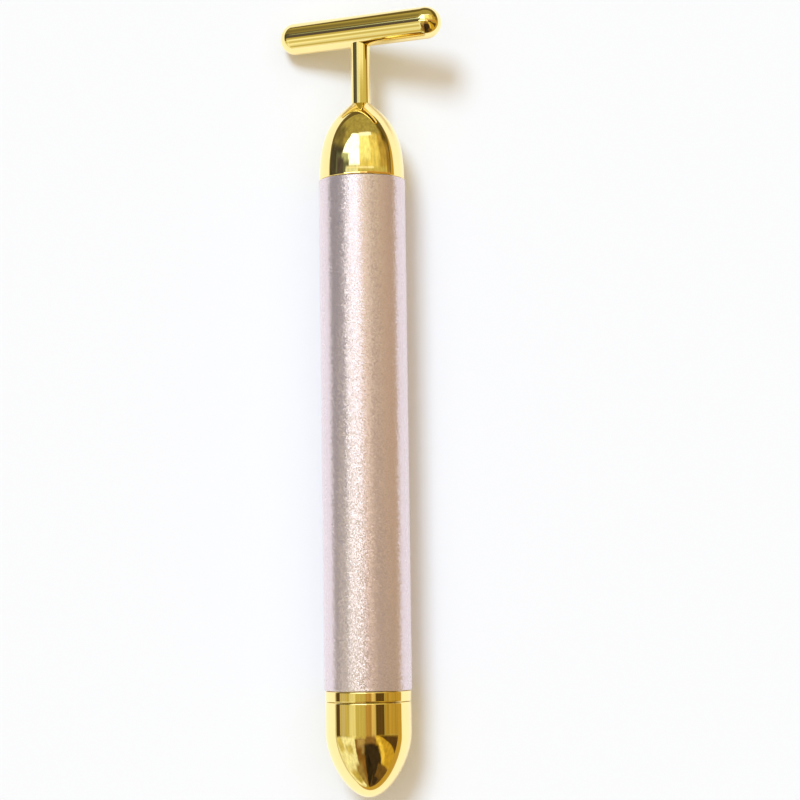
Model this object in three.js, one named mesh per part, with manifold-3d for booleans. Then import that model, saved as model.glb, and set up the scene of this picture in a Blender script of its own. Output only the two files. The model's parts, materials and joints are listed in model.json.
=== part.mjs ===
// Vibrating beauty bar with a massage T-head, a tube handle and a twist-on tail cap.
// Millimetres, +Z up. It lies on a table, on the tube and on one end of the massage bar: the
// handle's axis runs along Y with the head towards +Y, and the bar crosses it with its +X end up.
// The origin is on the table under the middle of the whole.
// Along the handle, a station is the distance from the tube's tail face, positive towards the head.

import * as THREE from 'three';
import { mergeVertices } from 'three/addons/utils/BufferGeometryUtils.js';
import Module from 'manifold-3d';

const wasm = await Module();
wasm.setup();

// Handle tube
const tubeDiameter = 17;
const tubeWall = 0.65;
const tubeLength = 99.5;
const tubeBevel = 0.15;

// Gold ends, a little slimmer than the tube
const endStep = 0.15;
const endBevel = 0.25;

// Head dome
const domeHeight = 15.3;
const domeShoulderReach = 9.7;
const domeNeckReach = 4.2;
const domeNeckSlope = 0.86;
const domeSkirtLength = 8;
const domeSkirtWall = 1.45;
const domeBoreDepth = 5;
const domeChamberBore = 9.4;
const domeChamberDepth = 8;

// Massage bar and its stem
const barDiameter = 6.3;
const barLength = 35;
const barHeight = 30;
const stemDiameter = 3.8;
const stemEntry = 2.4;
const stemTailLength = 4.2;

// Nut and washer that pull the stem into the dome
const nutWidth = 7;
const nutThickness = 2.6;
const washerDiameter = 8;
const washerThickness = 0.6;

// Motor holder
const holderLength = 27;
const holderFlange = 1.2;
const holderWall = 1.65;
const holderLip = 1.5;
const motorSetback = 3.4;

// Motor can, its plastic end and its bearings
const canWall = 0.5;
const canLength = 18;
const endCapFlange = 1.9;
const endCapSpigot = 1.2;
const bushDiameter = 4;
const bushFlangeDiameter = 5.2;
const bushFlange = 0.6;
const bushNose = 1;
const rearBushDiameter = 3.3;
const rearBushLength = 2.8;

// Rotor
const shaftDiameter = 1.5;
const shaftNose = 10;
const rotorAirGap = 0.35;
const coreTipAngle = 0.86;
const coreTipShare = 0.075;
const coreHubShare = 0.4;
const coreNeckShare = 0.175;
const coreLength = 8;
const coreSetback = 3.6;
const poleCount = 3;
const windingInset = 0.15;
const windingDepthShare = 0.13125;
const windingThicknessShare = 0.075;
const commutatorDiameter = 3.2;
const commutatorLength = 2.2;

// Magnets
const magnetThickness = 1.05;
const magnetAngle = 0.95;
const magnetOverhang = 1.4;

// Brushes with their terminals
const brushThickness = 0.3;
const brushWidth = 1.6;
const brushInset = 2.2;
const brushTailLength = 1.4;
const brushBend = 0.9;
const brushTipLength = 0.9;

// Eccentric weight
const weightInset = 1.2;
const weightLength = 6;
const weightHubDiameter = 3.6;
const weightSetback = 1;

// Contact carrier between the battery and the motor holder
const carrierLength = 6;
const carrierFloor = 1.5;
const carrierWall = 0.9;
const carrierHole = 2.6;
const clipSlotWidth = 2.6;

// Positive contact, riveted through the carrier
const contactDiameter = 8;
const contactThickness = 0.4;
const contactDimpleDiameter = 3;
const contactDimple = 0.3;
const rivetDiameter = 2;
const rivetHeadDiameter = 3.6;
const rivetHead = 0.5;

// Ground clip that leans on the tube's wall
const clipThickness = 0.3;
const clipWidth = 2;
const clipInset = 1.5;
const clipStep = 1.1;
const clipFootLength = 1.3;
const clipSetback = 1.6;

// Leads
const leadDiameter = 1;
const leadSides = 8;
const leadSteps = 8;
const leadBow = 1.1;
const leadStraightShare = 0.8;

// Cell, size AA: 14.2 by 50.5 in this tube
const cellClearance = 0.3;
const cellInCollar = 0.9;
const cellWrap = 0.1;
const cellShoulder = 0.8;
const cellWrapLip = 1;
const nubDiameter = 5.4;
const nubHeight = 1.4;
const cellWasherBand = 2;
const nubFlange = 0.4;
const cellWasherInset = 0.8;
const cellWasherThickness = 0.3;

// Battery liner
const linerWall = 0.35;

// Tail collar, pressed into the tube
const collarBand = 2.1;
const collarWall = 1.05;
const collarSleeve = 8;

// Tail cap
const capLength = 18.4;
const capStraight = 5.8;
const capShoulderReach = 5.6;
const capTipReach = 4;
const capWall = 0.8;
const capBoreDepth = 8;

// Threaded insert of the cap
const insertFloor = 5.2;
const insertWall = 1.2;
const spigotLength = 6.4;
const threadPitch = 1.2;
const threadDepth = 0.3;
const threadRelief = 0.3;
const threadLandShare = 0.3;
const threadFlankShare = 0.22;

// Seal on the spigot
const sealSection = 0.75;

// Screw that holds the insert in the cap
const screwDiameter = 2.4;
const screwHeadDiameter = 4.6;
const screwHead = 1.3;
const screwBite = 5;
const screwSlotWidth = 0.6;
const screwSlotDepth = 0.5;
const screwSlotShare = 0.65;

// Negative spring and the disc that it presses on the cell
const springWire = 0.7;
const springClearance = 1;
const springTaper = 1.4;
const springCurls = 5;
const discInset = 2.4;
const discThickness = 0.4;

// Clearances and cut overrun
const turnedGap = 0.1;
const faceGap = 0.05;
const runningGap = 0.08;
const slotGap = 0.15;
const overrun = 1;

// Roundness. The tube's flats are wide enough for it to lie still on the lowest one.
const tubeSides = 24;
const fineSides = 48;
const mediumSides = 32;
const smallSides = 24;
const tinySides = 16;
const curvePoints = 8;
const barEndPoints = 7;
const arcPoints = 8;
const sealPoints = 6;
const springStepsPerCurl = 8;
const springSides = 5;

// Diameters that follow from the tube, from the outside in
const tubeRadius = tubeDiameter / 2;
const tubeBore = tubeDiameter - 2 * tubeWall;
const endDiameter = tubeDiameter - 2 * endStep;
const endRadius = endDiameter / 2;
const sleeveRadius = tubeBore / 2 - turnedGap;
const domeBore = 2 * (sleeveRadius - domeSkirtWall);
const collarBore = endDiameter - 2 * collarWall;
const capBore = endDiameter - 2 * capWall;
const insertBore = collarBore - 2 * (turnedGap + threadDepth + insertWall);
const springBaseDiameter = insertBore - 2 * springClearance;
const springTopDiameter = springBaseDiameter - 2 * springTaper;
const cellDiameter = 2 * (sleeveRadius - linerWall - cellClearance);
const cellWasherDiameter = cellDiameter - 2 * cellWasherInset;
const nubFlangeDiameter = cellWasherDiameter - 2 * cellWasherBand;
const discDiameter = cellDiameter - 2 * discInset;
const canDiameter = 2 * (sleeveRadius - holderWall - turnedGap);
const holderMouth = canDiameter - 2 * holderLip;
const clipInnerReach = holderMouth / 2 - clipInset;
const weightDiameter = canDiameter - 2 * weightInset;
const brushOffset = canDiameter / 2 - brushInset;
const coreTipDiameter = canDiameter - 2 * (canWall + turnedGap + magnetThickness + rotorAirGap);
const coreTipThickness = coreTipDiameter * coreTipShare;
const coreHubDiameter = coreTipDiameter * coreHubShare;
const coreNeckWidth = coreTipDiameter * coreNeckShare;
const windingInnerRadius = coreHubDiameter / 2 + windingInset;
const windingDepth = coreTipDiameter * windingDepthShare;
const windingThickness = coreTipDiameter * windingThicknessShare;

// Stations of the main faces
const domeFace = tubeLength + faceGap;
const domeTop = tubeLength + domeHeight;
const skirtEnd = tubeLength - domeSkirtLength;
const barStation = tubeLength + barHeight;
const holderHead = skirtEnd - faceGap;
const holderTail = holderHead - holderLength;
const canHead = holderHead - motorSetback;
const canTail = canHead - canLength;
const endCapTail = canTail - faceGap - endCapFlange;
const carrierHead = holderTail - faceGap;
const carrierTail = carrierHead - carrierLength;
const contactHead = carrierTail - faceGap;
const contactTail = contactHead - contactThickness;
const cellHead = contactTail - contactDimple - faceGap;
const collarHead = collarSleeve;
const cellTail = collarHead - cellInCollar;
const discHead = cellTail - faceGap;
const discTail = discHead - discThickness;
const collarTail = -faceGap - collarBand;
const capMouth = collarTail - faceGap;
const capTip = capMouth - capLength;
const insertShoulder = capMouth - faceGap;
const insertTail = capMouth - capBoreDepth + faceGap;
const insertFloorFace = insertTail + insertFloor;
const spigotHead = insertShoulder + spigotLength;
const middleStation = (capTip + barStation + barDiameter / 2) / 2;

// How far the whole rolls from level before the massage bar's low end meets the table
const barEndReach = (barLength - barDiameter) / 2;
const restingRoll = Math.asin((tubeRadius - barDiameter / 2 - faceGap) / barEndReach);

// Materials
function finish(color, roughness, metalness) {
  return new THREE.MeshStandardMaterial({ color, roughness, metalness });
}
const goldPlate = finish(0xe6bd48, 0.08, 1);
const pinkAnodised = finish(0xd9bcb2, 0.35, 0.8);
const whitePlastic = finish(0xe8e6e0, 0.5, 0);
const blackPlastic = finish(0x1d1d1f, 0.5, 0);
const brightSteel = finish(0xb9bcc0, 0.3, 1);
const darkFerrite = finish(0x3a3a3c, 0.7, 0.2);
const bronze = finish(0xa8763e, 0.4, 1);
const copper = finish(0xc4713a, 0.3, 1);
const brass = finish(0xc9a24a, 0.3, 1);
const redLead = finish(0xb3261e, 0.5, 0);
const blackRubber = finish(0x151515, 0.8, 0);
const cellFoil = finish(0x8f9aa3, 0.35, 0.6);

// Geometry helpers

// Vertices merged and flattened triangles dropped, so that the faces close on each other.
function closed(geometry) {
  geometry.deleteAttribute('normal');
  geometry.deleteAttribute('uv');
  const merged = mergeVertices(geometry);
  const kept = [];
  const index = merged.index.array;
  for (let i = 0; i < index.length; i += 3) {
    const corners = [index[i], index[i + 1], index[i + 2]];
    if (new Set(corners).size === corners.length) {
      kept.push(...corners);
    }
  }
  merged.setIndex(kept);
  return merged;
}

function toSolid(geometry) {
  const clean = closed(geometry);
  const vertProperties = Float32Array.from(clean.attributes.position.array);
  const triVerts = Uint32Array.from(clean.index.array);
  return new wasm.Manifold(new wasm.Mesh({ numProp: 3, vertProperties, triVerts }));
}

function toGeometry(solid) {
  const mesh = solid.getMesh();
  const geometry = new THREE.BufferGeometry();
  geometry.setAttribute('position', new THREE.BufferAttribute(mesh.vertProperties, 3));
  geometry.setIndex(new THREE.BufferAttribute(mesh.triVerts, 1));
  return geometry;
}

function cut(geometry, ...tools) {
  let solid = toSolid(geometry);
  for (const tool of tools) {
    solid = solid.subtract(toSolid(tool));
  }
  return toGeometry(solid);
}

// A turned body about the handle's axis. The profile holds [radius, station] pairs and runs
// counter-clockwise; its radii are those of the flats, so one flat faces straight down.
function turned(profile, sides) {
  const flatToCorner = 1 / Math.cos(Math.PI / sides);
  const points = profile.map(([radius, station]) => new THREE.Vector2(radius * flatToCorner, station));
  return closed(new THREE.LatheGeometry(points, sides, Math.PI / sides));
}

// A turned ring whose profile closes on itself.
function turnedRing(profile, sides) {
  return turned([...profile, profile[0]], sides);
}

function plainRing(innerRadius, outerRadius, tail, head, sides) {
  return turnedRing([
    [innerRadius, tail],
    [outerRadius, tail],
    [outerRadius, head],
    [innerRadius, head],
  ], sides);
}

function plainRod(radius, tail, head, sides) {
  return turned([
    [0, tail],
    [radius, tail],
    [radius, head],
    [0, head],
  ], sides);
}

// A flat outline in X and Z, carried along the handle from the tail to the head station.
function alongHandle(shape, tail, head) {
  const depth = head - tail;
  const geometry = new THREE.ExtrudeGeometry(shape, { depth, bevelEnabled: false, curveSegments: arcPoints });
  geometry.rotateX(-Math.PI / 2);
  geometry.translate(0, tail, 0);
  return closed(geometry);
}

// A box by its sizes and centre.
function block(width, length, height, x, station, z) {
  const geometry = new THREE.BoxGeometry(width, length, height);
  geometry.translate(x, station, z);
  return geometry;
}

// A bent strip in the X and station plane, carried across Z by its width.
function bentStrip(route, thickness, width) {
  const points = route.map(([x, station]) => new THREE.Vector2(x, station));
  const left = [];
  const right = [];
  points.forEach((point, i) => {
    const before = points[Math.max(i - 1, 0)];
    const after = points[Math.min(i + 1, points.length - 1)];
    const into = point.clone().sub(before).normalize();
    const out = after.clone().sub(point).normalize();
    const along = into.clone().add(out).normalize();
    const half = thickness / 2 / (into.lengthSq() && out.lengthSq() ? along.dot(out) : 1);
    const side = new THREE.Vector2(-along.y, along.x).multiplyScalar(half);
    left.push(point.clone().add(side));
    right.unshift(point.clone().sub(side));
  });
  const outline = new THREE.Shape([...left, ...right]);
  const geometry = new THREE.ExtrudeGeometry(outline, { depth: width, bevelEnabled: false });
  geometry.translate(0, 0, -width / 2);
  return closed(geometry);
}

function cubicPoints(start, startHandle, endHandle, end) {
  const vectors = [start, startHandle, endHandle, end].map(([x, y]) => new THREE.Vector2(x, y));
  return new THREE.CubicBezierCurve(...vectors).getPoints(curvePoints).map((point) => [point.x, point.y]);
}

// Head

// A capsule with a blind socket for the stem, turned about the handle until its low end is down.
function headBar() {
  const radius = barDiameter / 2;
  const profile = [];
  for (let i = 0; i <= barEndPoints; i += 1) {
    const angle = (Math.PI / 2) * (i / barEndPoints);
    profile.push([radius * Math.sin(angle), -barEndReach - radius * Math.cos(angle)]);
  }
  const mirrored = profile.map(([r, along]) => [r, -along]).reverse();
  const capsule = turned([...profile, ...mirrored], mediumSides);
  capsule.rotateZ(-Math.PI / 2);
  capsule.translate(0, barStation, 0);
  const socketMouth = barStation - radius;
  const socketFloor = socketMouth + stemEntry + faceGap;
  const socket = plainRod(stemDiameter / 2 + turnedGap, socketMouth - overrun, socketFloor, smallSides);
  const bar = cut(capsule, socket);
  bar.rotateY(-restingRoll);
  return bar;
}

function headStem() {
  const tail = domeFace + domeChamberDepth - stemTailLength;
  return plainRod(stemDiameter / 2, tail, barStation - barDiameter / 2 + stemEntry, smallSides);
}

// The gold dome: a bulged shoulder that narrows to the stem, with a skirt inside the tube.
function headDome() {
  const neckRadius = stemDiameter / 2 + turnedGap;
  const shoulderTop = domeFace + endBevel;
  const outer = cubicPoints(
    [endRadius, shoulderTop],
    [endRadius, shoulderTop + domeShoulderReach],
    [neckRadius + domeNeckReach * Math.sin(domeNeckSlope), domeTop - domeNeckReach * Math.cos(domeNeckSlope)],
    [neckRadius, domeTop],
  );
  const chamberTop = domeFace + domeChamberDepth;
  const boreTop = domeFace + domeBoreDepth;
  return turnedRing([
    [domeBore / 2, skirtEnd],
    [sleeveRadius, skirtEnd],
    [sleeveRadius, domeFace],
    [endRadius - endBevel, domeFace],
    ...outer,
    [neckRadius, chamberTop],
    [domeChamberBore / 2, chamberTop],
    [domeChamberBore / 2, boreTop],
    [domeBore / 2, boreTop],
  ], fineSides);
}

function stemWasher() {
  const head = domeFace + domeChamberDepth - faceGap;
  const hole = stemDiameter / 2 + turnedGap;
  return plainRing(hole, washerDiameter / 2, head - washerThickness, head, smallSides);
}

function stemNut() {
  const head = domeFace + domeChamberDepth - washerThickness - 2 * faceGap;
  const hexagon = new THREE.Shape();
  const cornerRadius = nutWidth / 2 / Math.cos(Math.PI / 6);
  for (let i = 0; i < 6; i += 1) {
    const angle = (i * Math.PI) / 3;
    hexagon.lineTo(cornerRadius * Math.cos(angle), cornerRadius * Math.sin(angle));
  }
  const tail = head - nutThickness;
  const nut = alongHandle(hexagon, tail, head);
  const hole = plainRod(stemDiameter / 2 + turnedGap, tail - overrun, head + overrun, smallSides);
  return cut(nut, hole);
}

// Motor

function motorHolder() {
  const boreRadius = canDiameter / 2 + turnedGap;
  const flangeHead = holderTail + holderFlange;
  return turnedRing([
    [holderMouth / 2, holderTail],
    [sleeveRadius, holderTail],
    [sleeveRadius, holderHead],
    [boreRadius, holderHead],
    [boreRadius, flangeHead],
    [holderMouth / 2, flangeHead],
  ], mediumSides);
}

function motorCan() {
  const radius = canDiameter / 2;
  const noseHole = bushDiameter / 2 + turnedGap;
  return turnedRing([
    [radius - canWall, canTail],
    [radius, canTail],
    [radius, canHead],
    [noseHole, canHead],
    [noseHole, canHead - canWall],
    [radius - canWall, canHead - canWall],
  ], mediumSides);
}

function frontBush() {
  const bore = shaftDiameter / 2 + runningGap;
  const flangeHead = canHead - canWall - faceGap;
  return turnedRing([
    [bore, flangeHead - bushFlange],
    [bushFlangeDiameter / 2, flangeHead - bushFlange],
    [bushFlangeDiameter / 2, flangeHead],
    [bushDiameter / 2, flangeHead],
    [bushDiameter / 2, canHead + bushNose],
    [bore, canHead + bushNose],
  ], smallSides);
}

function motorEndCap() {
  const bushHole = rearBushDiameter / 2 + turnedGap;
  const flangeHead = canTail - faceGap;
  const spigotRadius = canDiameter / 2 - canWall - turnedGap;
  const body = turnedRing([
    [bushHole, endCapTail],
    [canDiameter / 2, endCapTail],
    [canDiameter / 2, flangeHead],
    [spigotRadius, flangeHead],
    [spigotRadius, flangeHead + endCapSpigot],
    [bushHole, flangeHead + endCapSpigot],
  ], mediumSides);
  const slotLength = endCapFlange + endCapSpigot + 2 * overrun;
  const slots = [-brushOffset, brushOffset].map((x) => block(
    brushThickness + 2 * slotGap,
    slotLength,
    brushWidth + 2 * slotGap,
    x,
    endCapTail - overrun + slotLength / 2,
    0,
  ));
  return cut(body, ...slots);
}

function rearBush() {
  const head = canTail + endCapSpigot;
  return plainRing(
    shaftDiameter / 2 + runningGap,
    rearBushDiameter / 2,
    head - rearBushLength,
    head,
    smallSides,
  );
}

// The arc magnet on the side given by the sign, seated against the can's wall.
function magnet(sign) {
  const outer = canDiameter / 2 - canWall - turnedGap;
  const inner = outer - magnetThickness;
  const middle = sign > 0 ? 0 : Math.PI;
  const shape = new THREE.Shape();
  shape.absarc(0, 0, outer, middle - magnetAngle, middle + magnetAngle, false);
  shape.absarc(0, 0, inner, middle + magnetAngle, middle - magnetAngle, true);
  const coreHead = canHead - coreSetback;
  return alongHandle(shape, coreHead - coreLength - magnetOverhang, coreHead + magnetOverhang);
}

// A brush leaf that runs from its terminal through the plastic end to the commutator.
function brush(sign) {
  const tipOffset = commutatorDiameter / 2 + brushThickness / 2 + turnedGap;
  const bendStation = canTail + endCapSpigot + brushBend;
  const route = [
    [sign * brushOffset, endCapTail - brushTailLength],
    [sign * brushOffset, bendStation - brushBend / 2],
    [sign * tipOffset, bendStation],
    [sign * tipOffset, bendStation + brushTipLength],
  ];
  return bentStrip(route, brushThickness, brushWidth);
}

function motorShaft() {
  const tail = canTail + endCapSpigot - rearBushLength;
  return plainRod(shaftDiameter / 2, tail, canHead + shaftNose, tinySides);
}

// Outline of one pole with its share of the hub, from one side of the gap to the other.
function polePoints(middle) {
  const tipRadius = coreTipDiameter / 2;
  const tipInner = tipRadius - coreTipThickness;
  const hubRadius = coreHubDiameter / 2;
  const halfNeck = coreNeckWidth / 2;
  const hubAngle = Math.asin(halfNeck / hubRadius);
  const neckAngle = Math.asin(halfNeck / tipInner);
  const polar = (radius, angle) => {
    const whole = middle + angle;
    return new THREE.Vector2(radius * Math.cos(whole), radius * Math.sin(whole));
  };
  const points = [polar(hubRadius, -hubAngle), polar(tipInner, -neckAngle), polar(tipInner, -coreTipAngle)];
  for (let i = 0; i <= arcPoints; i += 1) {
    points.push(polar(tipRadius, coreTipAngle * ((2 * i) / arcPoints - 1)));
  }
  points.push(polar(tipInner, coreTipAngle), polar(tipInner, neckAngle), polar(hubRadius, hubAngle));
  return points;
}

function poleAngle(pole) {
  return Math.PI / 2 + (2 * Math.PI * pole) / poleCount;
}

function armatureCore() {
  const outline = [];
  for (let pole = 0; pole < poleCount; pole += 1) {
    outline.push(...polePoints(poleAngle(pole)));
  }
  const shape = new THREE.Shape(outline);
  const head = canHead - coreSetback;
  const tail = head - coreLength;
  const body = alongHandle(shape, tail, head);
  const hole = plainRod(shaftDiameter / 2 + runningGap, tail - overrun, head + overrun, tinySides);
  return cut(body, hole);
}

// A coil of wire as one ring round a pole's neck, drawn as its outer shape.
function winding(pole) {
  const holeWidth = coreNeckWidth + 2 * turnedGap;
  const holeLength = coreLength + 2 * turnedGap;
  const middle = windingInnerRadius + windingDepth / 2;
  const station = canHead - coreSetback - coreLength / 2;
  const outer = block(
    windingDepth,
    holeLength + 2 * windingThickness,
    holeWidth + 2 * windingThickness,
    middle,
    station,
    0,
  );
  const inner = block(windingDepth + 2 * overrun, holeLength, holeWidth, middle, station, 0);
  const ring = cut(outer, inner);
  ring.rotateY(poleAngle(pole));
  return ring;
}

function commutator() {
  const tail = canTail + endCapSpigot + faceGap;
  return plainRing(
    shaftDiameter / 2 + runningGap,
    commutatorDiameter / 2,
    tail,
    tail + commutatorLength,
    smallSides,
  );
}

// A half disc that hangs under the shaft, with a hub round it.
function eccentricWeight() {
  const outer = weightDiameter / 2;
  const hub = weightHubDiameter / 2;
  const shape = new THREE.Shape();
  shape.moveTo(outer, 0);
  shape.absarc(0, 0, outer, 0, Math.PI, false);
  shape.lineTo(-hub, 0);
  shape.absarc(0, 0, hub, Math.PI, 2 * Math.PI, false);
  shape.lineTo(outer, 0);
  const tail = canHead + bushNose + weightSetback;
  const head = tail + weightLength;
  const body = alongHandle(shape, tail, head);
  const hole = plainRod(shaftDiameter / 2 + runningGap, tail - overrun, head + overrun, tinySides);
  return cut(body, hole);
}

// Contacts and leads

const rivetEnd = carrierTail + carrierFloor + faceGap + rivetHead;
const clipStation = carrierHead - clipSetback;
const brushEnd = endCapTail - brushTailLength;

// A cup whose floor carries the positive contact and whose rim stands against the motor holder.
function contactCarrier() {
  const floorHead = carrierTail + carrierFloor;
  const cup = turnedRing([
    [carrierHole / 2, carrierTail],
    [sleeveRadius, carrierTail],
    [sleeveRadius, carrierHead],
    [sleeveRadius - carrierWall, carrierHead],
    [sleeveRadius - carrierWall, floorHead],
    [carrierHole / 2, floorHead],
  ], mediumSides);
  const slotLength = carrierLength - carrierFloor + overrun;
  const slot = block(
    carrierWall + 2 * overrun,
    slotLength,
    clipSlotWidth,
    -sleeveRadius,
    floorHead + slotLength / 2,
    0,
  );
  return cut(cup, slot);
}

function positiveContact() {
  const headRivet = carrierTail + carrierFloor + faceGap;
  return turned([
    [0, contactTail - contactDimple],
    [contactDimpleDiameter / 2 - contactDimple, contactTail - contactDimple],
    [contactDimpleDiameter / 2, contactTail],
    [contactDiameter / 2, contactTail],
    [contactDiameter / 2, contactHead],
    [rivetDiameter / 2, contactHead],
    [rivetDiameter / 2, headRivet],
    [rivetHeadDiameter / 2, headRivet],
    [rivetHeadDiameter / 2, rivetEnd],
    [0, rivetEnd],
  ], smallSides);
}

function groundClip() {
  const wallOffset = tubeBore / 2 - turnedGap - clipThickness / 2;
  const route = [
    [-clipInnerReach, clipStation],
    [-(wallOffset - clipStep), clipStation],
    [-wallOffset, clipStation - clipStep],
    [-wallOffset, clipStation - clipStep - clipFootLength],
  ];
  return bentStrip(route, clipThickness, clipWidth);
}

// An insulated wire, straight at its ends, whose middle bows out from the plane of the handle's axis.
function lead(start, end, bow) {
  const straight = leadDiameter * leadStraightShare;
  const points = [
    new THREE.Vector3(start[0], start[1], 0),
    new THREE.Vector3(start[0], start[1] + straight, 0),
    new THREE.Vector3((start[0] + end[0]) / 2, (start[1] + end[1]) / 2, bow),
    new THREE.Vector3(end[0], end[1] - straight, 0),
    new THREE.Vector3(end[0], end[1], 0),
  ];
  const section = new THREE.Shape();
  for (let i = 0; i < leadSides; i += 1) {
    const angle = (2 * Math.PI * i) / leadSides;
    section.lineTo((leadDiameter / 2) * Math.cos(angle), (leadDiameter / 2) * Math.sin(angle));
  }
  const extrudePath = new THREE.CatmullRomCurve3(points);
  return closed(new THREE.ExtrudeGeometry(section, { steps: leadSteps, extrudePath, bevelEnabled: false }));
}

function positiveLead() {
  return lead([0, rivetEnd + turnedGap], [brushOffset, brushEnd - turnedGap], leadBow);
}

function negativeLead() {
  const clipFace = clipStation + clipThickness / 2 + turnedGap;
  const clipPoint = -(clipInnerReach + leadDiameter / 2);
  return lead([clipPoint, clipFace], [-brushOffset, brushEnd - turnedGap], leadBow);
}

// Handle and battery

function handleTube() {
  const inner = tubeBore / 2;
  return turnedRing([
    [inner, 0],
    [tubeRadius - tubeBevel, 0],
    [tubeRadius, tubeBevel],
    [tubeRadius, tubeLength - tubeBevel],
    [tubeRadius - tubeBevel, tubeLength],
    [inner, tubeLength],
  ], tubeSides);
}

function batteryLiner() {
  const tail = collarHead + faceGap;
  return plainRing(sleeveRadius - linerWall, sleeveRadius, tail, carrierTail - faceGap, mediumSides);
}

const cellCanRadius = cellDiameter / 2 - cellWrap - turnedGap;
const cellCanHead = cellHead - nubHeight;

function cellCan() {
  return turned([
    [0, cellTail],
    [cellCanRadius - cellShoulder, cellTail],
    [cellCanRadius, cellTail + cellShoulder],
    [cellCanRadius, cellCanHead - cellShoulder],
    [cellCanRadius - cellShoulder, cellCanHead],
    [0, cellCanHead],
  ], mediumSides);
}

function cellWrapSleeve() {
  const outer = cellDiameter / 2;
  return plainRing(outer - cellWrap, outer, cellTail + cellWrapLip, cellCanHead - cellWrapLip, mediumSides);
}

function cellPositiveCap() {
  const tail = cellCanHead + faceGap;
  return turned([
    [0, tail],
    [nubFlangeDiameter / 2, tail],
    [nubFlangeDiameter / 2, tail + nubFlange],
    [nubDiameter / 2, tail + nubFlange],
    [nubDiameter / 2, cellHead - faceGap],
    [0, cellHead - faceGap],
  ], smallSides);
}

function cellWasher() {
  const tail = cellCanHead + faceGap;
  const inner = nubFlangeDiameter / 2 + turnedGap;
  return plainRing(inner, cellWasherDiameter / 2, tail, tail + cellWasherThickness, mediumSides);
}

// Tail

function tailCollar() {
  const bore = collarBore / 2;
  return turnedRing([
    [bore, collarTail],
    [endRadius - endBevel, collarTail],
    [endRadius, collarTail + endBevel],
    [endRadius, -faceGap - endBevel],
    [endRadius - endBevel, -faceGap],
    [sleeveRadius, -faceGap],
    [sleeveRadius, collarHead],
    [bore, collarHead],
  ], fineSides);
}

// The gold bullet: straight sides, then one curve to a rounded tip, hollow for the insert.
function tailCap() {
  const curveStart = capMouth - capStraight;
  const nose = cubicPoints(
    [0, capTip],
    [capTipReach, capTip],
    [endRadius, curveStart - capShoulderReach],
    [endRadius, curveStart],
  );
  const floor = capMouth - capBoreDepth;
  const screwHole = screwDiameter / 2 + turnedGap;
  const holeEnd = floor - screwBite - faceGap;
  return turned([
    ...nose,
    [endRadius, capMouth - endBevel],
    [endRadius - endBevel, capMouth],
    [capBore / 2, capMouth],
    [capBore / 2, floor],
    [screwHole, floor],
    [screwHole, holeEnd],
    [0, holeEnd],
  ], fineSides);
}

const threadCrest = collarBore / 2 - turnedGap;
const threadRoot = threadCrest - threadDepth;
const sealGrooveRadius = threadCrest - sealSection - faceGap;
const sealGrooveHead = insertShoulder + sealSection + 2 * faceGap;

// Radius and station of the thread's corners in one column: the ridge climbs one pitch a turn,
// and the corners that would pass its ends are drawn in to them at the root.
function threadColumn(turnShare, low, high) {
  const land = (threadPitch * threadLandShare) / 2;
  const flank = threadPitch * threadFlankShare;
  const rises = [
    [threadRoot, -land - flank],
    [threadCrest, -land],
    [threadCrest, land],
    [threadRoot, land + flank],
  ];
  const count = Math.ceil((high - low) / threadPitch) + 1;
  const column = [];
  for (let turn = 0; turn < count; turn += 1) {
    const middle = low + threadPitch * (turn - 1 / 2 + turnShare);
    for (const [radius, offset] of rises) {
      const station = middle + offset;
      const inside = station > low && station < high;
      column.push([inside ? radius : threadRoot, Math.min(Math.max(station, low), high)]);
    }
  }
  return column;
}

// A screw thread is the same outline in every column, shifted along the axis by the turn.
function threadedInsert() {
  const low = sealGrooveHead + threadRelief;
  const high = spigotHead - threadRelief;
  const bore = insertBore / 2;
  const screwHole = screwDiameter / 2 + turnedGap;
  const wide = capBore / 2 - turnedGap;
  const rows = [];
  const corner = 1 / Math.cos(Math.PI / smallSides);
  for (let i = 0; i < smallSides; i += 1) {
    rows.push([
      [screwHole, insertTail],
      [wide, insertTail],
      [wide, insertShoulder],
      [sealGrooveRadius, insertShoulder],
      [sealGrooveRadius, sealGrooveHead],
      [threadRoot, sealGrooveHead],
      ...threadColumn(i / smallSides, low, high),
      [threadRoot, spigotHead - threadRelief / 2],
      [threadRoot - threadRelief / 2, spigotHead],
      [bore, spigotHead],
      [bore, insertFloorFace],
      [screwHole, insertFloorFace],
    ]);
  }
  const positions = [];
  rows.forEach((row, i) => {
    const angle = (Math.PI * (2 * i + 1)) / smallSides;
    for (const [radius, station] of row) {
      positions.push(radius * corner * Math.sin(angle), station, radius * corner * Math.cos(angle));
    }
  });
  const index = [];
  const length = rows[0].length;
  for (let i = 0; i < smallSides; i += 1) {
    const next = (i + 1) % smallSides;
    for (let j = 0; j < length; j += 1) {
      const above = (j + 1) % length;
      const here = i * length;
      const there = next * length;
      index.push(here + j, there + j, there + above);
      index.push(here + j, there + above, here + above);
    }
  }
  const geometry = new THREE.BufferGeometry();
  geometry.setAttribute('position', new THREE.Float32BufferAttribute(positions, 3));
  geometry.setIndex(index);
  return closed(geometry);
}

function capSeal() {
  const section = sealSection / 2;
  const ringRadius = threadCrest - section;
  const station = insertShoulder + faceGap + section;
  const profile = [];
  for (let i = 0; i < sealPoints; i += 1) {
    const angle = (2 * Math.PI * i) / sealPoints;
    profile.push([ringRadius + section * Math.cos(angle), station + section * Math.sin(angle)]);
  }
  return turnedRing(profile, mediumSides);
}

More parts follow.
